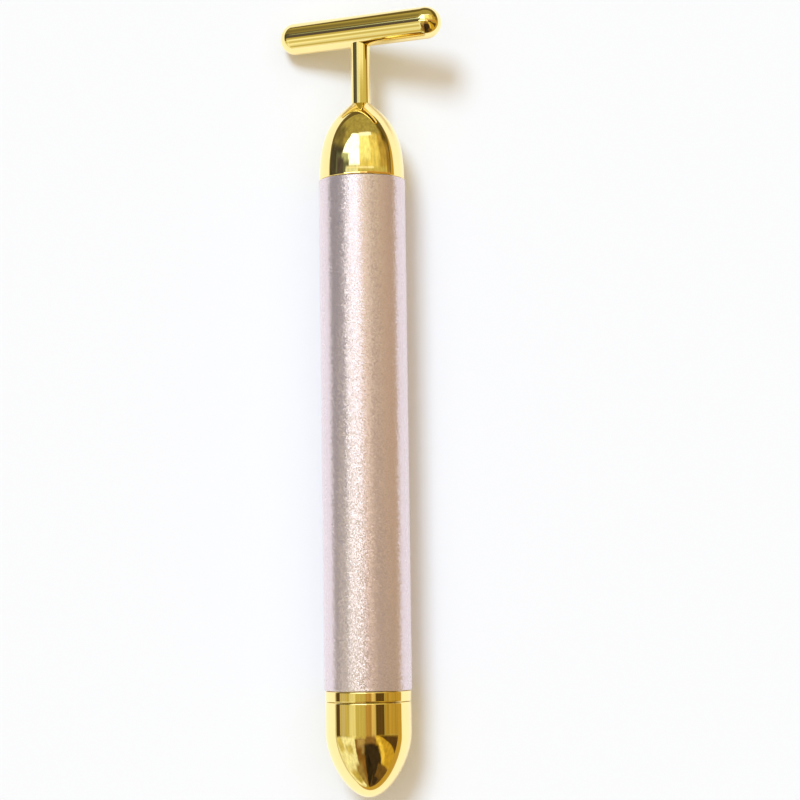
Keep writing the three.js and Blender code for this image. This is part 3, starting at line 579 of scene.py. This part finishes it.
def threaded_insert():
    """The insert's turned profile, whose spigot carries the screw ridge over the thread's root."""
    tail, head = span("cap_insert")
    below = rounded([
        (SCREW_HOLE_RADIUS, INSERT_FLOOR_FACE),
        (SCREW_HOLE_RADIUS, tail, 0.15),
        (INSERT_WIDE_RADIUS, tail, 0.2),
        (INSERT_WIDE_RADIUS, INSERT_SHOULDER, 0.1),
        (SEAL_GROOVE_RADIUS, INSERT_SHOULDER, 0.08),
        (SEAL_GROOVE_RADIUS, SEAL_GROOVE_HEAD, 0.08),
        (THREAD_ROOT, SEAL_GROOVE_HEAD, 0.06),
        (THREAD_ROOT, THREAD_LOW),
    ], closed=False, steps=3)
    station = np.linspace(THREAD_LOW, THREAD_HIGH, 126)[1:-1]
    rise = THREAD_DEPTH * ridge(station, FINE, THREAD_PITCH, THREAD_LAND, THREAD_FLANK, THREAD_SHIFT)
    rise = rise * run_out(station, THREAD_LOW, THREAD_HIGH, THREAD_RUN_OUT)
    above = rounded([
        (THREAD_ROOT, THREAD_HIGH),
        (THREAD_ROOT, head, 0.15),
        (INSERT_BORE_RADIUS, head, 0.15),
        (INSERT_BORE_RADIUS, INSERT_FLOOR_FACE, 0.2),
        (SCREW_HOLE_RADIUS + 0.3, INSERT_FLOOR_FACE),
    ], closed=False, steps=3)
    radius = np.concatenate([even(below[:, 0], FINE), THREAD_ROOT + rise, even(above[:, 0], FINE)])
    stations = np.concatenate([even(below[:, 1], FINE), even(station, FINE), even(above[:, 1], FINE)])
    return about_axis(radius, stations, True)


add_piece("threaded_insert", *threaded_insert(), turned_brass, "screw_cap", "brass", "cap_insert")

around = np.linspace(0, 2 * np.pi, 28, endpoint=False)
seal_tail, seal_head = span("cap_seal")
seal_profile = np.stack([SEAL_RADIUS + SEAL_SECTION * np.cos(around),
                         (seal_tail + seal_head) / 2 + SEAL_SECTION * np.sin(around)], -1)
add_piece("seal_ring", *turned(seal_profile, MEDIUM, True), seal_rubber, "screw_cap", "rubber", "cap_seal")

# Screw that holds the insert
SCREW_HEAD_RADIUS = 2.3
SCREW_HEAD = 1.3
SCREW_SIDES = 192
SCREW_PITCH = 0.5
SHANK_RADIUS = 1.04
SHANK_CONE_RADIUS = 0.9
SHANK_POINT_RADIUS = 0.55
SHANK_CONE = 0.8
SHANK_RIDGE = 0.16
SHANK_RIDGE_LAND = 0.06
SHANK_RIDGE_FLANK = 0.18
SLOT_HALF_WIDTH = 0.3
SLOT_HALF_LENGTH = 1.5
SLOT_DEPTH = 0.55
SLOT_WALL = 0.1


def insert_screw():
    """A pan-head screw: the shank carries a fine ridge down to a short cone, and the head's face
    is a low dome with a cross sunk in it, whose walls slope over a tenth of a millimetre."""
    end, face = span("insert_screw")
    under = face - SCREW_HEAD
    cone_head = end + SHANK_CONE
    tip = rounded([(0, end), (SHANK_POINT_RADIUS, end), (SHANK_CONE_RADIUS, cone_head)], closed=False)
    station = np.linspace(cone_head, under, 210)[1:-1]
    rise = SHANK_RIDGE * ridge(station, SCREW_SIDES, SCREW_PITCH, SHANK_RIDGE_LAND, SHANK_RIDGE_FLANK, 0.0)
    rise = rise * run_out(station, cone_head - 0.1, under - 0.3, THREAD_RUN_OUT)
    widening = (SHANK_RADIUS - SHANK_CONE_RADIUS) * (station - cone_head) / SHANK_CONE
    shank = np.minimum(SHANK_CONE_RADIUS + widening, SHANK_RADIUS)[:, None] + rise
    flank = rounded([
        (SHANK_RADIUS, under),
        (SCREW_HEAD_RADIUS, under, 0.12),
        (SCREW_HEAD_RADIUS, face - 0.2, 0.3),
        (SCREW_HEAD_RADIUS - 0.55, face),
    ], closed=False)
    across = np.linspace(flank[-1, 0], 0, 74)[1:, None] * np.ones(SCREW_SIDES)
    angle = np.arange(SCREW_SIDES) * 2 * np.pi / SCREW_SIDES
    x, z = np.abs(across * np.sin(angle)), np.abs(across * np.cos(angle))
    wide_x, wide_z = (np.clip((SLOT_HALF_WIDTH - away) / SLOT_WALL + 0.5, 0, 1) for away in (z, x))
    long_x, long_z = (np.clip((SLOT_HALF_LENGTH - away) / SLOT_WALL, 0, 1) for away in (x, z))
    sunk = face - SLOT_DEPTH * np.maximum(wide_x * long_x, wide_z * long_z)
    radius = [even(tip[:, 0], SCREW_SIDES), shank, even(flank[:, 0], SCREW_SIDES), across]
    stations = [even(values, SCREW_SIDES) for values in (tip[:, 1], station, flank[:, 1])] + [sunk]
    return about_axis(np.concatenate(radius), np.concatenate(stations), False)


add_piece("cross_screw", *insert_screw(), bright_steel, "screw_cap", "steel", "insert_screw", sharp=30)

# Negative spring
SPRING_WIRE = 0.7
SPRING_BASE_RADIUS = 4.7
SPRING_TOP_RADIUS = 3.3
SPRING_CURLS = 6
SPRING_STEPS_PER_CURL = 72
SPRING_SIDES = 20
CLOSED_PITCH = SPRING_WIRE * 1.04
END_DOME_SHARE = 0.3


def tapering_spring():
    """A coil spring of round wire. Its centre line is x = radius sin a, y = station,
    z = radius cos a, the radius falling evenly from base to top. The station climbs a wire's
    thickness over the first and the last turn, so that the end coils lie closed, and evenly
    between. The wire's round section stands square to the line, between the outward direction
    and the one across it, and each end is closed by a low dome."""
    tail, head = span("negative_spring")
    low, high = tail + SPRING_WIRE / 2, head - SPRING_WIRE / 2
    turns = np.linspace(0, SPRING_CURLS, SPRING_CURLS * SPRING_STEPS_PER_CURL + 1)
    open_pitch = (high - low - 2 * CLOSED_PITCH) / (SPRING_CURLS - 2)
    rate = np.interp(turns, [0.85, 1.25, SPRING_CURLS - 1.25, SPRING_CURLS - 0.85],
                     [CLOSED_PITCH, open_pitch, open_pitch, CLOSED_PITCH])
    climb = np.concatenate([[0], np.cumsum((rate[1:] + rate[:-1]) / 2)])
    station = low + (high - low) * climb / climb[-1]
    radius = SPRING_BASE_RADIUS + (SPRING_TOP_RADIUS - SPRING_BASE_RADIUS) * turns / SPRING_CURLS
    angle = 2 * np.pi * turns
    line = np.stack([radius * np.sin(angle), station, radius * np.cos(angle)], -1)
    return swept(line, SPRING_WIRE / 2, SPRING_SIDES)


def swept(line, radius, sides):
    """Round wire along a line given about the handle's axis: the section at each point is a circle
    between two directions square to the line, the first as near as can be to straight away from
    the axis. A point just past each end closes it."""
    along = np.gradient(line, axis=0)
    along /= np.linalg.norm(along, axis=1)[:, None]
    outward = line * (1, 0, 1) + (0, 0, 1e-6)
    side = outward - along * np.sum(outward * along, 1)[:, None]
    side /= np.linalg.norm(side, axis=1)[:, None]
    across = np.cross(along, side)
    angle = np.arange(sides) * 2 * np.pi / sides
    ring = side[:, None] * np.cos(angle)[:, None] + across[:, None] * np.sin(angle)[:, None]
    points = (line[:, None] + radius * ring).reshape(-1, 3)
    dome = radius * END_DOME_SHARE
    ends = np.stack([line[0] - along[0] * dome, line[-1] + along[-1] * dome])
    vertices = np.concatenate([points, ends]) + (0, TAIL_FACE, AXIS_HEIGHT)
    faces = grid_faces(len(line), sides).tolist()
    step = np.arange(sides)
    beside = (step + 1) % sides
    top = (len(line) - 1) * sides
    faces += np.stack([beside, step, step * 0 + len(points)], -1).tolist()
    faces += np.stack([top + step, top + beside, step * 0 + len(points) + 1], -1).tolist()
    return vertices, faces


add_piece("tapering_spring", *tapering_spring(), bright_steel, "screw_cap", "steel", "negative_spring",
          sharp=60)

# Pieces that are only turned: name, finish, body, slot, solid, whether the profile runs round a
# hole, and the corners of the profile with their rounding
disc_tail, disc_head = span("contact_disc")
can_tail, can_head = span("cell_can")
film_tail, film_head = span("cell_wrap")
fibre_tail, fibre_head = span("cell_washer")
nub_tail, nub_head = span("cell_positive_cap")
liner_tail, liner_head = span("battery_liner")
washer_tail, washer_head = span("stem_washer")
holder_tail, holder_head = span("motor_holder")
motor_tail, motor_head = span("motor_can")
front_tail, front_head = span("motor_front_bush")
rear_tail, rear_head = span("motor_rear_bush")
shaft_tail, shaft_head = span("motor_shaft")
plate_tail, plate_head = span("positive_contact")
TURNED_PIECES = [
    ("pressed_disc", turned_brass, "contact_disc", "brass", "contact_disc", False, [
        (0, disc_tail), (4.7, disc_tail, 0.15), (4.7, disc_head, 0.15), (0, disc_head)]),
    ("cell_body", nickelled_can, "battery", "cell_metal", "cell_can", False, [
        (0, can_tail), (5.1, can_tail, 0.1), (5.3, can_tail + 0.35, 0.1), (5.8, can_tail + 0.35, 0.1),
        (6.0, can_tail + 0.05, 0.15), (6.9, can_tail + 0.35, 0.5), (6.9, can_head - 0.2, 0.6),
        (5.9, can_head, 0.3), (0, can_head)]),
    ("cell_film_sleeve", cell_film, "battery", "cell_film", "cell_wrap", True, [
        (7.0, film_tail), (7.06, film_tail, 0.02), (7.1, film_tail + 0.5, 0.3), (7.1, film_head - 0.5, 0.3),
        (7.06, film_head, 0.02), (7.0, film_head)]),
    ("fibre_washer", black_plastic, "battery", "black_plastic", "cell_washer", True, [
        (4.4, fibre_tail), (6.3, fibre_tail, 0.05), (6.3, fibre_head, 0.05), (4.4, fibre_head, 0.05)]),
    ("cell_nub", nickelled_can, "battery", "cell_metal", "cell_positive_cap", False, [
        (0, nub_tail), (4.3, nub_tail, 0.05), (4.3, nub_tail + 0.35, 0.1), (2.7, nub_tail + 0.4, 0.15),
        (2.68, nub_head, 0.35), (0, nub_head)]),
    ("liner_sleeve", white_plastic, "root", "white_plastic", "battery_liner", True, [
        (7.4, liner_tail, 0.08), (7.75, liner_tail, 0.08),
        (7.75, liner_head, 0.08), (7.4, liner_head, 0.08)]),
    ("stem_washer_ring", bright_steel, "root", "steel", "stem_washer", True, [
        (2.0, washer_tail, 0.05), (4.0, washer_tail, 0.12),
        (4.0, washer_head, 0.05), (2.0, washer_head, 0.12)]),
    ("motor_cradle", white_plastic, "root", "white_plastic", "motor_holder", True, [
        (4.5, holder_tail, 0.15), (7.75, holder_tail, 0.25),
        (7.75, holder_head, 0.25), (6.1, holder_head, 0.25),
        (6.1, holder_tail + 1.2, 0.1), (4.5, holder_tail + 1.2, 0.15)]),
    ("drawn_can", bright_steel, "root", "steel", "motor_can", True, [
        (5.5, motor_tail), (6.0, motor_tail, 0.05), (6.0, motor_head, 0.7), (2.1, motor_head, 0.15),
        (2.1, motor_head - 0.5), (5.5, motor_head - 0.5, 0.3)]),
    ("front_bush", sintered_bronze, "root", "bronze", "motor_front_bush", True, [
        (0.83, front_tail, 0.08), (2.6, front_tail, 0.08), (2.6, front_tail + 0.6, 0.05),
        (2.0, front_tail + 0.6), (2.0, front_head, 0.2), (0.83, front_head, 0.12)]),
    ("rear_bush", sintered_bronze, "root", "bronze", "motor_rear_bush", True, [
        (0.83, rear_tail, 0.12), (1.65, rear_tail, 0.15),
        (1.65, rear_head, 0.15), (0.83, rear_head, 0.12)]),
    ("steel_shaft", bright_steel, "rotor", "steel", "motor_shaft", False, [
        (0, shaft_tail), (0.75, shaft_tail, 0.15), (0.75, shaft_head, 0.15), (0, shaft_head)]),
    ("riveted_contact", turned_brass, "root", "brass", "positive_contact", False, [
        (0, plate_tail), (1.2, plate_tail, 0.2),
        (1.5, plate_tail + 0.3, 0.15), (4.0, plate_tail + 0.3, 0.12),
        (4.0, plate_tail + 0.7, 0.12), (1.0, plate_tail + 0.7, 0.05), (1.0, plate_head - 0.5, 0.05),
        (1.8, plate_head - 0.5, 0.1), (1.7, plate_head, 0.3), (0, plate_head)]),
]
for name, material, body, slot, node, ring, outline in TURNED_PIECES:
    add_piece(name, *turned(rounded(outline, ring, 4), MEDIUM, ring), material, body, slot, node, sharp=35)

# Floor
FLOOR_HALF = 3.0
FLOOR_BELOW = 0.00002
floor_mesh = bpy.data.meshes.new("floor")
floor_mesh.from_pydata([(-FLOOR_HALF, -FLOOR_HALF, 0), (FLOOR_HALF, -FLOOR_HALF, 0),
                        (FLOOR_HALF, FLOOR_HALF, 0), (-FLOOR_HALF, FLOOR_HALF, 0)], [], [(0, 1, 2, 3)])
floor = bpy.data.objects.new("floor", floor_mesh)
floor.location.z = -FLOOR_BELOW
bpy.context.scene.collection.objects.link(floor)
floor_paint = bpy.data.materials.new("floor_paint")
floor_paint.use_nodes = True
FLOOR = (0.95, 0.95, 0.95, 1)
# How much the floor glows, only in mirrors: a painted brightening of its reflection
PAINTED_MIRROR_GLOW = 0.16
SHEET_LEFT = -0.17
SHEET_RIGHT = 0.062
SHEET_CORNER = 0.088
SHEET_HEAD = 0.107
# Floor tones past the sheet's edges, seen only in mirrors: painted reflections of the darker room beyond
# the sheet
PAINTED_REFLECTION_PAST_RIGHT = (0.47, 0.30, 0.06, 1)
PAINTED_REFLECTION_PAST_LEFT = (0.58, 0.54, 0.40, 1)
PAINTED_REFLECTION_PAST_HEAD = (0.13, 0.10, 0.04, 1)


def paint_floor():
    """Matt and pale. Only in mirrors it glows a little, a painted brightening of its reflection, and past
    the edges of the sheet that the bar rests on it takes darker tones, a painted reflection of the room
    beyond; the camera and matt light see it evenly pale."""
    nodes, links = floor_paint.node_tree.nodes, floor_paint.node_tree.links
    shader = nodes["Principled BSDF"]
    shader.inputs["Roughness"].default_value = 0.9
    shader.inputs["Specular IOR Level"].default_value = 0.0
    place = nodes.new("ShaderNodeTexCoord")
    ray = nodes.new("ShaderNodeLightPath")
    either = nodes.new("ShaderNodeMath")
    either.operation = "MAXIMUM"
    links.new(ray.outputs["Is Glossy Ray"], either.inputs[0])
    links.new(ray.outputs["Is Transmission Ray"], either.inputs[1])
    color = None
    # Past each edge of the sheet, mirrors see a darker tone: a painted reflection of the room beyond
    for towards, edge, soft, tone in (
        ((1, 0, 0), SHEET_RIGHT, 0.012, PAINTED_REFLECTION_PAST_RIGHT),
        ((0.78, -0.62, 0), SHEET_CORNER, 0.008, PAINTED_REFLECTION_PAST_RIGHT),
        ((-1, 0, 0), -SHEET_LEFT, 0.03, PAINTED_REFLECTION_PAST_LEFT),
        ((0, 1, 0), SHEET_HEAD, 0.01, PAINTED_REFLECTION_PAST_HEAD),
    ):
        along = nodes.new("ShaderNodeVectorMath")
        along.operation = "DOT_PRODUCT"
        links.new(place.outputs["Object"], along.inputs[0])
        along.inputs[1].default_value = towards
        past = nodes.new("ShaderNodeMapRange")
        past.inputs["From Min"].default_value = edge - soft / 2
        past.inputs["From Max"].default_value = edge + soft / 2
        links.new(along.outputs["Value"], past.inputs["Value"])
        seen = nodes.new("ShaderNodeMath")
        seen.operation = "MULTIPLY"
        links.new(past.outputs["Result"], seen.inputs[0])
        links.new(either.outputs[0], seen.inputs[1])
        mix = nodes.new("ShaderNodeMix")
        mix.data_type = "RGBA"
        mix.inputs["A"].default_value = FLOOR
        mix.inputs["B"].default_value = tone
        links.new(seen.outputs[0], mix.inputs["Factor"])
        if color is not None:
            links.new(color, mix.inputs["A"])
        color = mix.outputs["Result"]
    links.new(color, shader.inputs["Base Color"])
    links.new(color, shader.inputs["Emission Color"])
    # Only mirrors see the floor glow a little: a painted brightening of its reflection
    painted_glow = nodes.new("ShaderNodeMath")
    painted_glow.operation = "MULTIPLY"
    links.new(either.outputs[0], painted_glow.inputs[0])
    painted_glow.inputs[1].default_value = PAINTED_MIRROR_GLOW
    links.new(painted_glow.outputs[0], shader.inputs["Emission Strength"])


paint_floor()
floor_mesh.materials.append(floor_paint)

# Light: a soft key from the upper left on the head side, a broad light from above, and the room.
# Each lamp is unseen in mirrors, where the room's own window stands for it.


def lamp(name, energy, color, direction, angle):
    """A sun of the given angle in degrees, shining from the direction."""
    data = bpy.data.lights.new(name, "SUN")
    data.energy = energy
    data.color = color
    data.angle = np.radians(angle)
    sun = bpy.data.objects.new(name, data)
    sun.rotation_euler = Vector(direction).to_track_quat("Z", "Y").to_euler()
    sun.visible_glossy = False
    bpy.context.scene.collection.objects.link(sun)


lamp("key", 2.09, (0.589, 0.766, 1.0), (-0.26, 0.59, 1.0), 21)
lamp("sky", 0.883, (1.0, 1.0, 1.0), (0.06, 0.20, 1.0), 90)

# The room that the gold mirrors. Side is the angle from straight up towards +X, and height the
# angle towards the head, both in degrees. Each thing in the room covers the ones before it: its
# tone, side from and to, height from and to, how soft its edges are, how far its sides lean
# leftwards for each degree of height, and how much its top drops off as an arch.
ROOM_FILL = (0.42, 0.325, 0.20)
ROOM_BACKDROP = (0.97, 0.975, 0.98)
CEILING = (0.41, 0.355, 0.135)
ROOM_RIPPLE = 9.0
RIPPLE_SCALE = 6.0
ROOM_UNEVEN = 1.1
UNEVEN_SCALE = 9.0
ROOM = {
    "far floor": ((0.12, 0.07, 0.025), -180, 180, -95, -2, 6, 0, 0),
    "far floor, lit side": ((0.45, 0.37, 0.10), -120, -25, -95, -50, 14, 0, 0),
    "amber wall": ((0.86, 0.74, 0.27), -2, 62, 9, 46, 8, 0, 0.0035),
    "deep amber wall": ((0.52, 0.37, 0.10), 57, 84, 2, 42, 12, 0, 0),
    "wall in shade": ((0.30, 0.19, 0.055), 80, 120, 2, 44, 12, 0, 0),
    "dark door": ((0.12, 0.08, 0.02), 78, 94, 30, 62, 10, 0, 0),
    "cabinet": ((0.075, 0.07, 0.065), -120, -50, -2, 30, 8, 0.3, 0),
    "cabinet top": ((0.20, 0.17, 0.08), -120, -58, 29, 52, 12, 0.3, 0),
    "foliage": ((0.15, 0.165, 0.14), -70, -31, 10, 22, 4, 0, 0),
    "foliage, lit": ((0.50, 0.57, 0.42), -52, -31, 17, 24, 4, 0, 0),
    "window": ((2.1, 2.4, 2.95), -31, -1, 14.5, 46, 3, 0, 0.004),
    "window, slanted side": ((2.1, 2.4, 2.95), -27, 0, 23, 46, 2, -1.04, 0),
    "curtain": ((1.12, 1.12, 0.62), -1, 31, 18, 45, 6, 0, 0.002),
    "curtain rail": ((1.3, 1.35, 1.5), -3, 42, 43, 49, 2.5, 0, 0.003),
    "wainscot": ((0.64, 0.56, 0.21), -36, 78, 9, 13, 3, 0, 0),
    "wainscot, lit": ((0.95, 1.05, 0.95), -39, -5, 9, 13, 4, 0, 0),
    "sill line": ((1.15, 1.12, 0.9), -36, 40, 12.4, 13.4, 0.8, 0, 0),
    "lit sill": ((4.2, 4.3, 4.1), -44, 2, 3, 6.8, 2, 0, 0),
    "sill": ((2.2, 1.6, 1.15), 2, 20, 3, 7, 2, 0, 0),
    "shaded sill": ((0.62, 0.31, 0.09), 20, 96, 3, 10, 3, 0, 0),
    "cabinet step": ((0.10, 0.085, 0.10), -66, -45, -5, 19, 4, 0, 0),
    "shelf": ((0.58, 0.49, 0.18), -96, 96, -13, 2.5, 2, 0, 0),
    "shelf, dark end": ((0.10, 0.06, 0.03), -98, -75, -10, 3, 3, 0, 0),
    "shelf, pale end": ((0.54, 0.47, 0.30), -72, -60, -12, 2, 4, 0, 0),
    "shelf, bright strip": ((0.80, 0.76, 0.48), -46, -30, -14, 2, 4, 0, 0),
    "shelf, brown strip": ((0.53, 0.32, 0.09), -1, 14, -14, 2, 3, 0, 0),
    "shelf, tan strip": ((0.76, 0.57, 0.27), 15, 23, -14, 2, 3, 0, 0),
    "shelf, dark strip": ((0.12, 0.068, 0.02), 25, 49, -8, 2, 3, 0, 0),
    "shelf, amber end": ((0.50, 0.33, 0.07), 51, 104, -4.5, 2.5, 1.5, 0, 0),
    "papers": ((0.97, 0.98, 0.78), -100, -33, -82, -8, 5, 0, 0.003),
    "papers, shaded": ((0.70, 0.61, 0.27), -92, -76, -26, -8, 6, 0.4, 0),
    "papers, folded": ((0.70, 0.62, 0.30), -66, -46, -32, -20, 6, 0.5, 0),
    "papers, second fold": ((0.66, 0.54, 0.26), -84, -62, -57, -48, 8, 0.8, 0),
    "papers, third fold": ((0.58, 0.48, 0.16), -78, -42, -72, -53, 8, 0, 0),
    "brown cloth": ((0.24, 0.125, 0.035), -33, -7, -88, -13, 3, 0, 0),
    "brown cloth, spread": ((0.35, 0.25, 0.10), -50, -20, -88, -46, 10, 0, 0),
    "brown cloth, lit": ((0.47, 0.34, 0.16), -27, -3, -25, -11, 10, 0, 0),
    "brown cloth, lit fold": ((0.36, 0.26, 0.15), -16, -7, -36, -22, 5, 0, 0),
    "amber table": ((0.58, 0.37, 0.045), 24, 112, -48, -6, 4, 0, 0),
    "brown shelf": ((0.25, 0.14, 0.055), -3, 24, -24, -7.5, 8, 0, 0),
    "dark panel": ((0.035, 0.024, 0.014), -7, 26, -88, -22, 8, 0, 0),
    "dark panel, middle": ((0.012, 0.008, 0.005), 2, 16, -50, -22, 12, 0, 0),
    "table edge": ((0.92, 0.68, 0.14), 21, 33, -46, -9, 7, 0.86, 0),
    "panel's slope": ((0.045, 0.03, 0.02), -10, 31, -80, -22, 7, 0.86, 0),
    "table's far edge": ((0.16, 0.09, 0.03), 40, 130, -66, -47, 4, 0, 0),
    "chair back": ((0.10, 0.055, 0.02), 31, 230, -36, -6.5, 7, 2.75, 0),
}


def room():
    """The world: lit evenly for matt surfaces, white behind the bar, and with the room's things
    for what mirrors it. A thing's cover is the product of four soft steps, one for each side."""
    world = bpy.data.worlds.new("room")
    world.use_nodes = True
    bpy.context.scene.world = world
    nodes, links = world.node_tree.nodes, world.node_tree.links
    nodes.clear()

    def put(socket, value):
        if isinstance(value, (int, float)):
            socket.default_value = value
        elif isinstance(value, tuple):
            socket.default_value = (*value, 1)
        else:
            links.new(value, socket)

    def math(operation, *values):
        node = nodes.new("ShaderNodeMath")
        node.operation = operation
        for socket, value in zip(node.inputs, values):
            put(socket, value)
        return node.outputs[0]

    def mix(factor, first, second):
        node = nodes.new("ShaderNodeMix")
        node.data_type = "RGBA"
        put(node.inputs["Factor"], factor)
        put(node.inputs["A"], first)
        put(node.inputs["B"], second)
        return node.outputs["Result"]

    def step(value, low, high):
        node = nodes.new("ShaderNodeMapRange")
        node.interpolation_type = "SMOOTHSTEP"
        node.inputs["From Min"].default_value = low
        node.inputs["From Max"].default_value = high
        put(node.inputs["Value"], value)
        return node.outputs["Result"]

    place = nodes.new("ShaderNodeTexCoord")
    split = nodes.new("ShaderNodeSeparateXYZ")
    links.new(place.outputs["Generated"], split.inputs[0])
    side = math("MULTIPLY", math("ARCTAN2", split.outputs["X"], split.outputs["Z"]), 180 / np.pi)
    height = math("MULTIPLY", math("ARCSINE", split.outputs["Y"]), 180 / np.pi)
    ripple = nodes.new("ShaderNodeTexNoise")
    ripple.inputs["Scale"].default_value = RIPPLE_SCALE
    links.new(place.outputs["Generated"], ripple.inputs["Vector"])
    side = math("ADD", side, math("MULTIPLY", math("SUBTRACT", ripple.outputs["Fac"], 0.5), ROOM_RIPPLE))
    color = CEILING
    for tone, left, right, low, high, soft, lean, arch in ROOM.values():
        across = side
        if lean:
            across = math("MULTIPLY_ADD", math("SUBTRACT", height, high), lean, side)
        top = height
        if arch:
            off = math("SUBTRACT", side, (left + right) / 2)
            top = math("MULTIPLY_ADD", math("MULTIPLY", off, off), arch, height)
        cover = math("MULTIPLY", step(across, left - soft / 2, left + soft / 2),
                     step(across, right + soft / 2, right - soft / 2))
        cover = math("MULTIPLY", cover, step(height, low - soft / 2, low + soft / 2))
        cover = math("MULTIPLY", cover, step(top, high + soft / 2, high - soft / 2))
        color = mix(cover, color, tone)
    clutter = nodes.new("ShaderNodeTexNoise")
    clutter.inputs["Scale"].default_value = UNEVEN_SCALE
    clutter.inputs["Detail"].default_value = 4
    links.new(place.outputs["Generated"], clutter.inputs["Vector"])
    uneven = math("MULTIPLY_ADD", clutter.outputs["Fac"], ROOM_UNEVEN, 1 - ROOM_UNEVEN / 2)
    scaled = nodes.new("ShaderNodeVectorMath")
    scaled.operation = "SCALE"
    put(scaled.inputs[0], color)
    put(scaled.inputs["Scale"], uneven)
    ray = nodes.new("ShaderNodeLightPath")
    mirrored = math("MAXIMUM", ray.outputs["Is Glossy Ray"], ray.outputs["Is Transmission Ray"])
    color = mix(mirrored, ROOM_FILL, scaled.outputs["Vector"])
    color = mix(ray.outputs["Is Camera Ray"], color, ROOM_BACKDROP)
    light = nodes.new("ShaderNodeBackground")
    links.new(color, light.inputs["Color"])
    output = nodes.new("ShaderNodeOutputWorld")
    links.new(light.outputs[0], output.inputs["Surface"])


room()

bpy.context.scene.view_settings.view_transform = "Standard"
